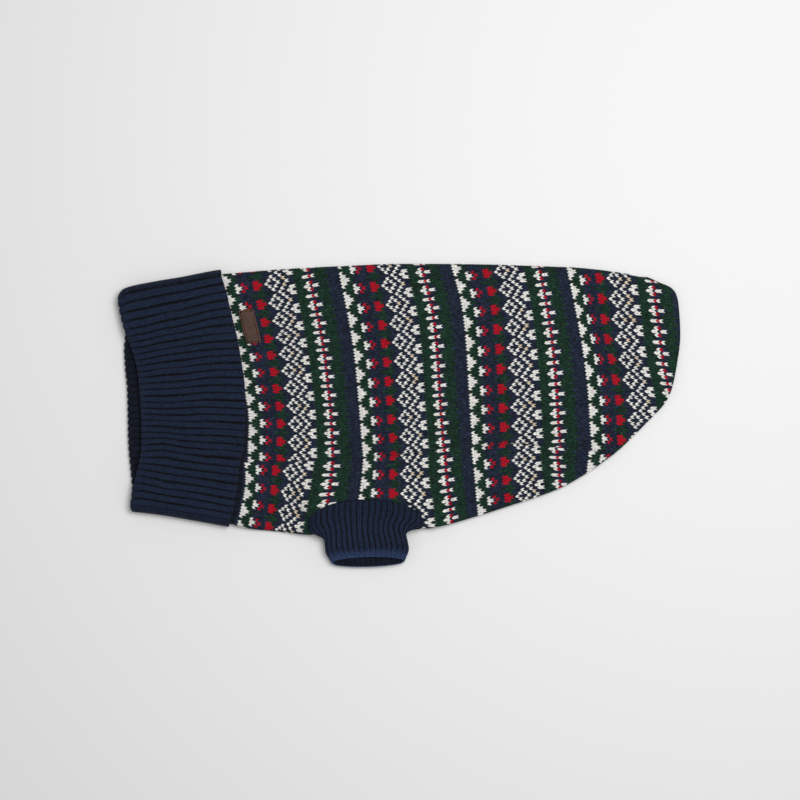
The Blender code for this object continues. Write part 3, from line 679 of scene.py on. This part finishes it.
def rib_profile(phase, wales):
    """Across one rib: how high it stands, from -1 in the groove to 1, how far each place is from
    the middle of its wale, and the yarn's height in that wale."""
    wide = (phase - GROOVE) / (1.0 - 2.0 * GROOVE)
    ridge = -1.0 + 2.0 * smooth_step(np.minimum(phase, 1.0 - phase) / (GROOVE * 1.5))
    crown = 0.25 * (1.0 - (2.0 * np.clip(wide, 0, 1) - 1.0) ** 2)
    off = np.abs((wide * wales) % 1.0 - 0.5)
    flat = (wide < 0.0) | (wide > 1.0)
    off = np.where(flat, 0.5, off)
    leg = np.where(flat, 0.0, np.interp(off, *V_HEIGHTS))
    return ridge + crown, off, leg


def rib_phases(wales):
    """Places across one rib: the groove, its foot and then each wale in even steps."""
    steps = wales * WALE_POINTS
    inner = [GROOVE + (1.0 - 2.0 * GROOVE) * k / steps for k in range(steps + 1)]
    return [0.0, GROOVE * GROOVE_FOOT] + inner + [1.0 - GROOVE * GROOVE_FOOT]


def course_beat(course):
    return RIB_DIP if float(course) % 1.0 == 0.0 else 1.0


def ring_grid(columns, rows):
    """A grid that is later closed into a tube both ways, with the number of each point."""
    bm = bmesh.new()
    bmesh.ops.create_grid(bm, x_segments=rows, y_segments=columns, size=0.5)
    spots = np.array([v.co for v in bm.verts])
    return (bm, np.rint((spots[:, 0] + 0.5) * rows).astype(int),
            np.rint((spots[:, 1] + 0.5) * columns).astype(int))


def rib_knit(name, rgb):
    """Heavy navy rib: heathered yarn with pale flecks, with painted shade in the grooves and
    painted light on the folds and rims.
    """
    made = jersey(name)
    nodes, link = made.node_tree.nodes, made.node_tree.links.new
    set_inputs(nodes["Principled BSDF"], {"Sheen Weight": 0.05})
    kinds = {node.bl_idname: node for node in nodes}
    attribute = kinds["ShaderNodeAttribute"]
    # The depth attribute carries painted shade and light, mixed with the yarn's own flecks.
    attribute.attribute_name = "depth"
    set_inputs(kinds["ShaderNodeMapRange"], {"To Min": 0.45, "To Max": 1.65})
    ramp = add_node(nodes, "Mix")
    ramp.data_type = "RGBA"
    ramp.clamp_factor = False
    dark, light = (linear([v * level for v in rgb]) for level in RIB_SHADE_LEVELS)
    ramp.inputs["A"].default_value = (*dark, 1.0)
    ramp.inputs["B"].default_value = (*light, 1.0)
    link(attribute.outputs["Fac"], ramp.inputs["Factor"])
    link(ramp.outputs["Result"], kinds["ShaderNodeVectorMath"].inputs[0])
    return made


def close_tube(bm, spots, depth, uv):
    """Puts the points in place, welds both seams of the grid and stores the painted shade and
    light (the depth attribute) and UV map.
    """
    uv_layer = bm.loops.layers.uv.new("knit")
    painted_shade_layer = bm.verts.layers.float.new("depth")
    for vert in bm.verts:
        vert.co = spots[vert.index] * MM
        vert[painted_shade_layer] = depth[vert.index]
    for face in bm.faces:
        for loop in face.loops:
            loop[uv_layer].uv = uv[loop.vert.index]
    bmesh.ops.remove_doubles(bm, verts=bm.verts, dist=1e-6)
    bmesh.ops.recalc_face_normals(bm, faces=bm.faces)


def collar_columns():
    """Places round the collar, starting on the upper layer: which side (1 near, -1 far, 0 a side
    fold), share of the way down, angle round the side fold and place across the rib."""
    made = []
    for rib in range(COLLAR_RIBS):
        for phase in rib_phases(RIB_WALES):
            made.append((1, (rib + phase) / COLLAR_RIBS, 90.0, phase))
    turns = [180.0 * k / SIDE_FOLD_POINTS for k in range(SIDE_FOLD_POINTS)]
    made += [(0, 1.0, 90.0 - turn, 0.5) for turn in turns]
    for rib in range(COLLAR_RIBS):
        for phase in FAR_PHASES:
            made.append((-1, 1.0 - (rib + phase) / COLLAR_RIBS, -90.0, phase))
    made += [(0, 0.0, -90.0 + turn, 0.5) for turn in turns]
    return made + [made[0]]


def collar_rows():
    """Places along the collar's section from its free edge over the fold and down inside to the
    neck, and back, as (kind, reach, course)."""
    made = [("edge", k / 4, 0.0) for k in range(4)]
    made += [("outer", k / (2 * COLLAR_COURSES), k / 2) for k in range(2 * COLLAR_COURSES)]
    made += [("turn", k / 6, COLLAR_COURSES + k / 2) for k in range(7)]
    made += [("inside", k / 12, COLLAR_COURSES + 3 + k) for k in range(1, 13)]
    made += [("stand", k / 8, COLLAR_COURSES + 20 + k) for k in range(9)]
    made += [("hollow", k / 4, COLLAR_COURSES + 30) for k in range(1, 4)]
    made += [("lining", k / 6, COLLAR_COURSES + 30) for k in range(7)]
    return made + [made[0]]


def collar_span(x):
    """Where the collar's upper and lower side folds begin to turn."""
    return column(COLLAR_TOP, x) - COLLAR_MIDDLE, column(COLLAR_BOTTOM, x) + COLLAR_MIDDLE


def collar_neck(share):
    """Where the collar meets the neck seam, found in a few rounds since both lines slope."""
    neck = np.full(len(share), -170.0)
    for _ in range(3):
        top, bottom = collar_span(neck)
        neck = column(NECK_LINE, top + (bottom - top) * share) - GAP
    return neck


def lay_collar():
    columns = np.array(collar_columns())
    rows = collar_rows()
    bm, row_of, column_of = ring_grid(len(columns) - 1, len(rows) - 1)
    side, share, angle, phase = columns.T
    near = (1 + np.sin(np.radians(angle))) / 2
    drift_table = np.array(RIB_DRIFT)
    drifts = curve(drift_table[:, 0], drift_table[:, 1:], share)
    lines = np.array(COLLAR_LINES)

    def lines_at(drift, length):
        """The fold's and free edge's x where a rib that has drifted down crosses them."""
        drifted = np.clip(share + drift / length * (side > 0), 0, 1)
        return curve(lines[:, 0], lines[:, 1:], drifted)

    at_fold, at_edge = lines_at(drifts[:, 0], FOLD_LENGTH), lines_at(drifts[:, 4], EDGE_LENGTH)
    fold_x = at_fold[:, 1] + (at_fold[:, 0] - at_fold[:, 1]) * near
    round_top, round_bottom = 1.2 * np.exp(-share * 60), 1.5 * np.exp((share - 1) * 60)
    free_x = at_edge[:, 2] - round_top - round_bottom
    neck = collar_neck(share)
    ridge, off, leg = rib_profile(phase, RIB_WALES)
    side_fold = ((ridge, 0.6), (leg, 0.3), (off, 0.5))
    ridge, leg, off = (np.where(side != 0, ribbed, plain) for ribbed, plain in side_fold)
    rib = np.floor(share * COLLAR_RIBS - 1e-6)
    wander = 0.4 * np.sin(rib * 2.4)
    creased = (np.abs(share * COLLAR_RIBS - COLLAR_CREASE) < 0.2) & (side > 0)
    deep = np.where(creased, CREASE_DEPTH, 0.0)
    groove_depth = 0.75 + 0.3 * np.sin(rib * 1.7 + side)
    lead = COLLAR_COURSE * (V_LEAD + 2 * V_DEPTH * off + 0.4)
    rng = np.random.default_rng(8)
    turn_x = fold_x + TURN_RADIUS
    spots = np.zeros((len(rows), len(columns), 3))
    depth = np.zeros((len(rows), len(columns)))
    uv = np.zeros((len(rows), len(columns), 2))
    for k, (kind, reach, course) in enumerate(rows):
        beat = course_beat(course)
        past_bend = {"outer": float(smooth_step((reach - 0.94) / 0.06)), "turn": 1.0}
        near_fold = past_bend.get(kind, 0.0) * (side >= 0)
        uneven = 0.85 + 0.3 * np.sin(course * 0.31 + rib * 2.1)
        uneven = uneven + 0.2 * np.sin(course * 0.13 + rib * 4.7)
        sunk = groove_depth * uneven * ridge * (1 - 0.8 * near_fold)
        raised = np.where(ridge > 0, 0.4 * ridge, sunk) - deep * (1 - near_fold)
        if kind == "outer":
            x = free_x + (turn_x - free_x) * reach - lead * min(1.0, 8 * reach, 8 * (1 - reach))
            radius = COLLAR_FACE + raised + 0.32 * leg * beat
        elif kind == "turn":
            a = math.pi * (1 - reach)
            grown = TURN_RADIUS - 0.15 + (raised + 0.3 * leg * beat) * min(1.0, 2.2 * (1 - reach))
            x, radius = turn_x - grown * math.sin(a), TURN_MIDDLE - grown * math.cos(a)
        elif kind == "inside":
            x = turn_x + (neck - turn_x) * reach
            radius = COLLAR_INSIDE + 0.28 * ridge * min(1.0, 3 * (1 - reach))
        elif kind == "stand":
            x = neck + (turn_x - neck) * reach
            radius = TURN_RADIUS + 0.35 * ridge * (1 - reach)
        elif kind == "hollow":
            a = math.pi * reach
            x, radius = turn_x - 0.3 * math.sin(a), 3.4 - 0.25 * math.cos(a)
        elif kind == "lining":
            x, radius = turn_x + (free_x - turn_x) * reach, COLLAR_LINING
        else:
            a = math.pi * reach
            x = free_x + 1.1 * math.sin(a)
            wall = COLLAR_FACE + raised - COLLAR_LINING
            radius = COLLAR_LINING + wall * (1 - math.cos(a)) / 2
        top, bottom = collar_span(x)
        along = np.clip(x, RIB_DRIFT_X[0], RIB_DRIFT_X[-1])
        drift = np.array([np.interp(a, RIB_DRIFT_X, d) for a, d in zip(along, drifts)])
        drift = drift + wander * np.sin((along + 200) / 17.0) * (np.abs(share - 0.5) < 0.48)
        drift = drift * (side > 0) * {"inside": 1 - reach, "stand": 0, "hollow": 0}.get(kind, 1)
        sideways = np.where(side == 0, np.cos(np.radians(angle)) * np.where(share < 0.5, 1, -1), 0)
        y = top + (bottom - top) * share + sideways * radius - drift
        z = COLLAR_MIDDLE + np.sin(np.radians(angle)) * radius
        spots[k] = np.stack([x, y, np.maximum(z, FLOOR_CLEAR)], 1)
        # Painted shade and light for the depth attribute: darker in the grooves and between the
        # loops, lighter on the turned fold, and darker on the inside and on the far layer; the
        # flecks are the yarn's own.
        line = np.where(ridge > 0, 0.3, 0.42 * uneven) * ridge * (1 - 0.6 * near_fold)
        shade = 0.46 + line + 0.5 * (leg * beat - 0.4) + 0.25 * near_fold
        fleck = rng.normal(0.0, 0.2, len(share))
        inner = kind in ("inside", "stand", "hollow", "lining")
        depth[k] = np.clip(shade + fleck, -0.15, 1.5) * np.where(inner | (side < 0), 0.45, 1.0)
        uv[k] = np.stack([np.full(len(share), float(course)), share * COLLAR_RIBS * 4], 1)
    close_tube(bm, spots[row_of, column_of], depth[row_of, column_of], uv[row_of, column_of])
    return bm


navy_rib = rib_knit("navy_rib", RIB_NAVY)
collar = finish_cloth(lay_collar(), "roll_collar", navy_rib)
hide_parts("collar")


# ---------------------------------------------------------------------------------------------
# The leg cuffs: two short rib tubes, each sewn round a leg hole, that fan in from the wide hole
# to the leg and end in a soft rolled edge. The far one lies under the near one.

CUFF_WALL = 1.5
CUFF_SLACK = 0.45  # half the gap between the flat tube's inner faces
CUFF_ROWS = (
    # left_x, left_y, right_x, right_y, front_rise, back_rise, left_rib, right_rib
    (-90.1, -107.2, 23.5, -106.6, 22.2, 1.0, 2.0, 25.0),
    (-90.3, -112.0, 23.7, -109.9, 20.3, 2.5, 2.1, 24.9),
    (-88.0, -117.4, 20.5, -113.3, 16.5, 4.0, 2.5, 24.5),
    (-80.6, -120.7, 11.7, -114.9, 10.5, 2.5, 3.2, 23.8),
    (-75.3, -123.6, 6.7, -118.6, 5.5, -1.0, 4.1, 22.9),
    (-73.7, -131.1, 7.9, -126.6, 3.5, -3.0, 4.5, 22.5),
    (-72.8, -138.1, 9.0, -135.1, 4.0, -3.5, 4.5, 22.5),
    (-67.8, -147.4, 5.6, -145.4, 5.6, -4.6, 4.5, 22.5),
)
CUFF_RIBS = 36
CUFF_WALES = 2
CUFF_SPREAD = 0.6  # 0 crowds the ribs towards the side folds, 1 spreads them evenly
CUFF_FOLD = 0.9  # the turn from a side fold within which they stay crowded, in radians
CUFF_STACK = (1.95, 10.95)  # heights of the far and the near tube's middle
CUFF_SWELL = (4.3, 6.0, 0.45)  # the row from which the tube opens, the row it is open at, how far
CUFF_DROP = (-127.0, -146.0, 3.4)  # from and to which y the near tube sinks, and how far
CUFF_COURSES = 18
RIM_BULGE = 1.0


def cuff_row(s):
    rows = np.array(CUFF_ROWS)
    return curve(np.arange(len(rows)), rows, np.array([s]))[0]


def cuff_normal(s, left):
    """The outward normal of a side fold of the cuff, s rows from its seam."""
    k = 0 if left else 2
    before, after = cuff_row(max(s - 0.5, 0.0)), cuff_row(min(s + 0.5, len(CUFF_ROWS) - 1))
    run, fall = after[k] - before[k], before[k + 1] - after[k + 1]
    normal = np.array((-fall, -run)) if left else np.array((fall, run))
    return normal / np.hypot(*normal)


def spread_ribs(turn):
    """Shifts turns round the cuff so that its ribs lie more evenly across the flat tube."""
    half, rest = np.divmod(turn, math.pi)
    even = np.arccos(np.clip(1.0 - 2.0 * rest / math.pi, -1.0, 1.0))
    inside = smooth_step(np.minimum(rest, math.pi - rest) / CUFF_FOLD)
    return half * math.pi + rest + (even - rest) * CUFF_SPREAD * inside


def lay_cuff(near):
    phases = rib_phases(CUFF_WALES)
    places = np.array([rib + phase for rib in range(CUFF_RIBS) for phase in phases] + [CUFF_RIBS])
    last = len(CUFF_ROWS) - 1
    rows = [("outer", last * k / (2 * CUFF_COURSES), k / 2) for k in range(2 * CUFF_COURSES + 1)]
    rows += [("rim", k / 5, CUFF_COURSES) for k in range(1, 5)]
    rows += [("inner", last * (1 - k / 14), CUFF_COURSES + k) for k in range(15)]
    rows += [rows[0]]
    bm, row_of, column_of = ring_grid(len(places) - 1, len(rows) - 1)
    ridge, _, leg = rib_profile(places % 1.0, CUFF_WALES)
    spots = np.zeros((len(rows), len(places), 3))
    depth = np.zeros((len(rows), len(places)))
    uv = np.zeros((len(rows), len(places), 2))
    rib_turn = places % CUFF_RIBS
    rng = np.random.default_rng(9)
    for k, (kind, s, course) in enumerate(rows):
        reach = s if kind != "rim" else last
        left_x, left_y, right_x, right_y, front, back, left_rib, right_rib = cuff_row(reach)
        first, full, most = CUFF_SWELL
        swell = most * float(smooth_step((reach - first) / (full - first)))
        inner_radius = CUFF_SLACK + swell
        outer_radius = inner_radius + CUFF_WALL
        ribs = right_rib - left_rib
        on_front = (rib_turn >= left_rib) & (rib_turn <= right_rib)
        turn = np.where(
            on_front, math.pi * (rib_turn - left_rib) / ribs,
            math.pi * (1.0 + ((rib_turn - right_rib) % CUFF_RIBS) / (CUFF_RIBS - ribs)))
        turn = spread_ribs(turn)
        share = (1 - np.cos(turn)) / 2
        rise = np.where(turn <= math.pi, front, -back)
        x = left_x + (right_x - left_x) * share
        y = left_y + (right_y - left_y) * share + rise * np.sin(turn)
        left = share < 0.5
        normal = np.where(left[:, None], cuff_normal(reach, True), cuff_normal(reach, False))
        corner = np.where(left[:, None], (left_x, left_y), (right_x, right_y))
        inward = ((corner - np.stack([x, y], 1)) * normal).sum(1)
        edge = np.clip(inward / outer_radius, 0.0, 1.0)
        up = np.sqrt(1 - (1 - edge) ** 2) * np.where(turn <= math.pi, 1, -1)
        drop = CUFF_DROP[2] * smooth_step((CUFF_DROP[0] - y) / (CUFF_DROP[0] - CUFF_DROP[1]))
        middle = CUFF_STACK[1] - drop if near else CUFF_STACK[0] + swell
        fade = 1.0 - 0.85 * float(smooth_step((reach - last + 1.1) / 0.9))
        beat = course_beat(course)
        firm = 0.55 + 0.45 * float(smooth_step((reach - 1.5) / 2.5))
        relief = np.where(ridge > 0, 0.35, 0.7 * firm) * ridge * fade + 0.28 * leg * beat
        if kind == "outer":
            radius = outer_radius - 0.1 + relief
        elif kind == "inner":
            radius = inner_radius - 0.2 * ridge
        else:
            radius = inner_radius + CUFF_WALL / 2 * (1 + math.cos(math.pi * s))
        sideways = normal * (1 - edge)[:, None]
        centre = np.stack([x, y], 1) - sideways * outer_radius
        out = centre + sideways * np.broadcast_to(radius, x.shape)[:, None]
        z = middle + up * radius * (1 if near else -1)
        if kind == "rim":
            out[:, 1] -= RIM_BULGE * math.sin(math.pi * s)
        spots[k] = np.stack([out[:, 0], out[:, 1], np.maximum(z, FLOOR_CLEAR)], 1)
        # Painted shade and light for the depth attribute: a painted highlight on the rolled rim
        # and the tube near it, painted shade in the grooves, between the loops and inside the
        # tube; the flecks are the yarn's own.
        rim_light = {"rim": 3.1, "outer": 1.9 * (1.0 - fade)}.get(kind, 0.0)
        shade = 0.35 * ridge * fade * firm + 0.5 * (leg * beat - 0.4)
        fleck = rng.normal(0.0, 0.22, len(places))
        depth[k] = np.clip(0.5 + shade + fleck + rim_light, -0.1, 3.6)
        if kind == "inner":
            depth[k] *= 0.55
        uv[k] = np.stack([np.full(len(places), float(course)), places * 3], 1)
    close_tube(bm, spots[row_of, column_of], depth[row_of, column_of], uv[row_of, column_of])
    return bm


near_cuff = finish_cloth(lay_cuff(True), "leg_cuff_upper", navy_rib)
far_cuff = finish_cloth(lay_cuff(False), "leg_cuff_lower", navy_rib)
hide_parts("leg_cuff_near")
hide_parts("leg_cuff_far")


# ---------------------------------------------------------------------------------------------
# The leather patch: a small oblong of waxed brown leather with rounded corners and a pressed
# border line, tacked to the jumper behind the collar by a few dark stitches at each corner.

PATCH_CORNERS = ((-160.8, 104.0), (-145.9, 106.0), (-137.8, 72.4), (-152.2, 71.0))
PATCH_THICKNESS = 1.3
PATCH_ROUND = 1.3
PATCH_PROUD = 0.25  # it stands this far off the knit, over the gap
PATCH_STEPS = (
    # how far in, how far up, and how much paler the leather is there; a rounded edge, then a
    # groove
    (0.18, 0.28, 1.0), (0.3, 0.12, 0.9), (0.6, 0.0, 0.35), (0.14, -0.14, 0.2), (0.16, -0.3, 0.0),
    (0.16, 0.0, 0.0), (0.16, 0.3, 0.2), (0.14, 0.14, 0.4), (0.6, 0.02, 0.4),
)
SIDE_PALENESS = 0.8
CORNER_STEP = 2  # after which step the face's corners are drawn together
LEATHER_STOPS = (0.32, 0.72)
LEATHER_BROWNS = ((56, 35, 26), (82, 53, 42))
THREAD_HOLES = (
    # x, y and the way out over the corner, in degrees
    (-157.6, 101.9, 145), (-148.3, 103.5, 45), (-150.3, 73.2, -135), (-140.9, 74.3, -45),
)
THREAD_LENGTH = 3.0
THREAD_THICK = 0.5
THREAD_SPREAD = 24.0  # how far each of the two strands turns from the way out, in degrees
THREAD_START = 0.85  # how much of its half length lies ahead of the hole
THREAD_BROWN = (20, 11, 9)


def patch_height(x, y):
    x, y = np.array([x]), np.array([y])
    return float(back_layers(x, y)[0][0]) + GAP + PATCH_PROUD


def square_corners(bm, face):
    """Draws each small rounded corner of a face together into one point."""
    middle = face.calc_center_median()
    bmesh.ops.remove_doubles(bm, verts=face.verts, dist=0.4 * MM)
    return min(bm.faces, key=lambda f: (f.calc_center_median() - middle).length)


def cut_patch():
    bm = bmesh.new()
    corners = [bm.verts.new((x * MM, y * MM, 0.0)) for x, y in reversed(PATCH_CORNERS)]
    bm.faces.new(corners)
    bmesh.ops.bevel(bm, geom=corners, offset=PATCH_ROUND * MM, offset_type="OFFSET", segments=5,
                    profile=0.5, affect="VERTICES", material=-1)
    face = bm.faces[:][0]
    made = bmesh.ops.extrude_face_region(bm, geom=[face])["geom"]
    face = next(g for g in made if isinstance(g, bmesh.types.BMFace))
    rounding = PATCH_STEPS[0][1] + PATCH_STEPS[1][1]
    bmesh.ops.translate(bm, verts=face.verts, vec=(0, 0, (PATCH_THICKNESS - rounding) * MM))
    paleness = bm.verts.layers.float.new("paleness")
    for vert in bm.verts:
        vert[paleness] = SIDE_PALENESS
    for k, (width, rise, how_pale) in enumerate(PATCH_STEPS):
        bmesh.ops.inset_region(bm, faces=[face], thickness=width * MM, depth=0.0,
                               use_even_offset=True)
        bmesh.ops.translate(bm, verts=face.verts, vec=(0, 0, rise * MM))
        if k == CORNER_STEP:
            face = square_corners(bm, face)
        for vert in face.verts:
            vert[paleness] = how_pale
    bmesh.ops.triangulate(bm, faces=[f for f in bm.faces if len(f.verts) > 4])
    for vert in bm.verts:
        vert.co.z += patch_height(vert.co.x / MM, vert.co.y / MM) * MM
    bmesh.ops.recalc_face_normals(bm, faces=bm.faces)
    return bm


def waxed_leather(name):
    """Brown leather: a fine pebbled grain, cloudy wax, paler on its rounded edges, darker in its
    groove.
    """
    made, nodes, link, shader = new_finish(name, Specular_IOR_Level=0.25)
    place = add_node(nodes, "TexCoord")
    cloud = add_node(nodes, "TexNoise", Scale=160.0, Detail=5.0)
    colour = add_node(nodes, "ValToRGB")
    for stop, position, rgb in zip(colour.color_ramp.elements, LEATHER_STOPS, LEATHER_BROWNS):
        stop.position = position
        stop.color = (*linear(rgb), 1.0)
    grain = add_node(nodes, "TexVoronoi", Scale=1500.0)
    rough = add_node(nodes, "MapRange", To_Min=0.48, To_Max=0.68)
    bump = add_node(nodes, "Bump", Strength=0.35, Distance=0.0002)
    paleness = add_node(nodes, "Attribute")
    paleness.attribute_name = "paleness"
    how_pale = add_node(nodes, "MapRange", To_Min=0.35, To_Max=1.9)
    tint = add_tint(nodes)
    link(place.outputs["Object"], cloud.inputs["Vector"])
    link(place.outputs["Object"], grain.inputs["Vector"])
    link(paleness.outputs["Fac"], how_pale.inputs["Value"])
    link(colour.outputs["Color"], tint.inputs[0])
    link(how_pale.outputs["Result"], tint.inputs["Scale"])
    link(cloud.outputs["Fac"], colour.inputs["Fac"])
    link(tint.outputs["Vector"], shader.inputs["Base Color"])
    link(cloud.outputs["Fac"], rough.inputs["Value"])
    link(rough.outputs["Result"], shader.inputs["Roughness"])
    link(grain.outputs["Distance"], bump.inputs["Height"])
    link(bump.outputs["Normal"], shader.inputs["Normal"])
    return made


def sew_corners():
    """Two short strands over each corner, from a hole in the leather down to the knit."""
    bm = bmesh.new()
    for x, y, towards in THREAD_HOLES:
        for turned in (-THREAD_SPREAD, THREAD_SPREAD):
            a = math.radians(towards + turned)
            made = bmesh.ops.create_uvsphere(bm, u_segments=10, v_segments=12, radius=1.0)["verts"]
            for vert in made:
                along, across, up = vert.co.z, vert.co.x, vert.co.y
                reach = (along + THREAD_START) * THREAD_LENGTH / 2
                here_x, here_y = x + math.cos(a) * reach, y + math.sin(a) * reach
                side_x = -math.sin(a) * across * THREAD_THICK
                side_y = math.cos(a) * across * THREAD_THICK
                rise = patch_height(here_x, here_y) + PATCH_THICKNESS - 0.1
                fall = 0.7 * max(along, 0.0) ** 2 + 0.5 * max(-along - 0.5, 0.0)
                height = rise - fall + up * THREAD_THICK
                vert.co = np.array((here_x + side_x, here_y + side_y, height)) * MM
    return bm


def dark_thread(name):
    """Waxed dark brown sewing thread."""
    return new_finish(name, Base_Color=(*linear(THREAD_BROWN), 1.0), Roughness=0.7,
                      Specular_IOR_Level=0.2)[0]


patch = finish_cloth(cut_patch(), "leather_label", waxed_leather("waxed_leather"))
patch.data.set_sharp_from_angle(angle=math.radians(35))
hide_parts("leather_patch")
finish_cloth(sew_corners(), "corner_threads", dark_thread("waxed_thread"))


# ---------------------------------------------------------------------------------------------
# The photograph's set: a pale seamless floor, broad soft light from above and a camera that
# looks straight down on the garment.

PHOTO_SIDE = 800.0  # what the photograph takes in, in millimetres
PHOTO_CENTRE = (0.7, 14.9)
CAMERA_HEIGHT = 2400.0
MID_HEIGHT = 6.0
SENSOR = 36.0
PAPER = (0.83, 0.83, 0.83, 1.0)
SKY_LIGHT = 0.44


def pale_floor():
    bm = bmesh.new()
    bmesh.ops.create_grid(bm, x_segments=8, y_segments=8, size=3.0)
    mesh = bpy.data.meshes.new("floor")
    bm.to_mesh(mesh)
    bm.free()
    mesh.materials.append(new_finish("seamless_paper", Base_Color=PAPER, Roughness=0.9)[0])
    piece = bpy.data.objects.new("floor", mesh)
    bpy.context.scene.collection.objects.link(piece)


def soft_box(name, place, size, power):
    light = bpy.data.lights.new(name, "AREA")
    light.shape = "SQUARE"
    light.size = size
    light.energy = power
    lamp = bpy.data.objects.new(name, light)
    lamp.location = place
    lamp.rotation_euler = (-Vector(place)).to_track_quat("-Z", "Y").to_euler()
    bpy.context.scene.collection.objects.link(lamp)


pale_floor()
soft_box("key_light", (0.45, 0.35, 1.5), 0.9, 17.5)
world = bpy.data.worlds.new("studio")
world.use_nodes = True
set_inputs(world.node_tree.nodes["Background"], {"Color": (1.0,) * 4, "Strength": SKY_LIGHT})
bpy.context.scene.world = world

lens = bpy.data.cameras.new("camera")
lens.sensor_width = SENSOR
lens.lens = SENSOR * (CAMERA_HEIGHT - MID_HEIGHT) / PHOTO_SIDE
camera = bpy.data.objects.new("camera", lens)
camera.location = (PHOTO_CENTRE[0] * MM, PHOTO_CENTRE[1] * MM, CAMERA_HEIGHT * MM)
bpy.context.scene.collection.objects.link(camera)
bpy.context.scene.camera = camera
bpy.context.scene.view_settings.view_transform = "Standard"
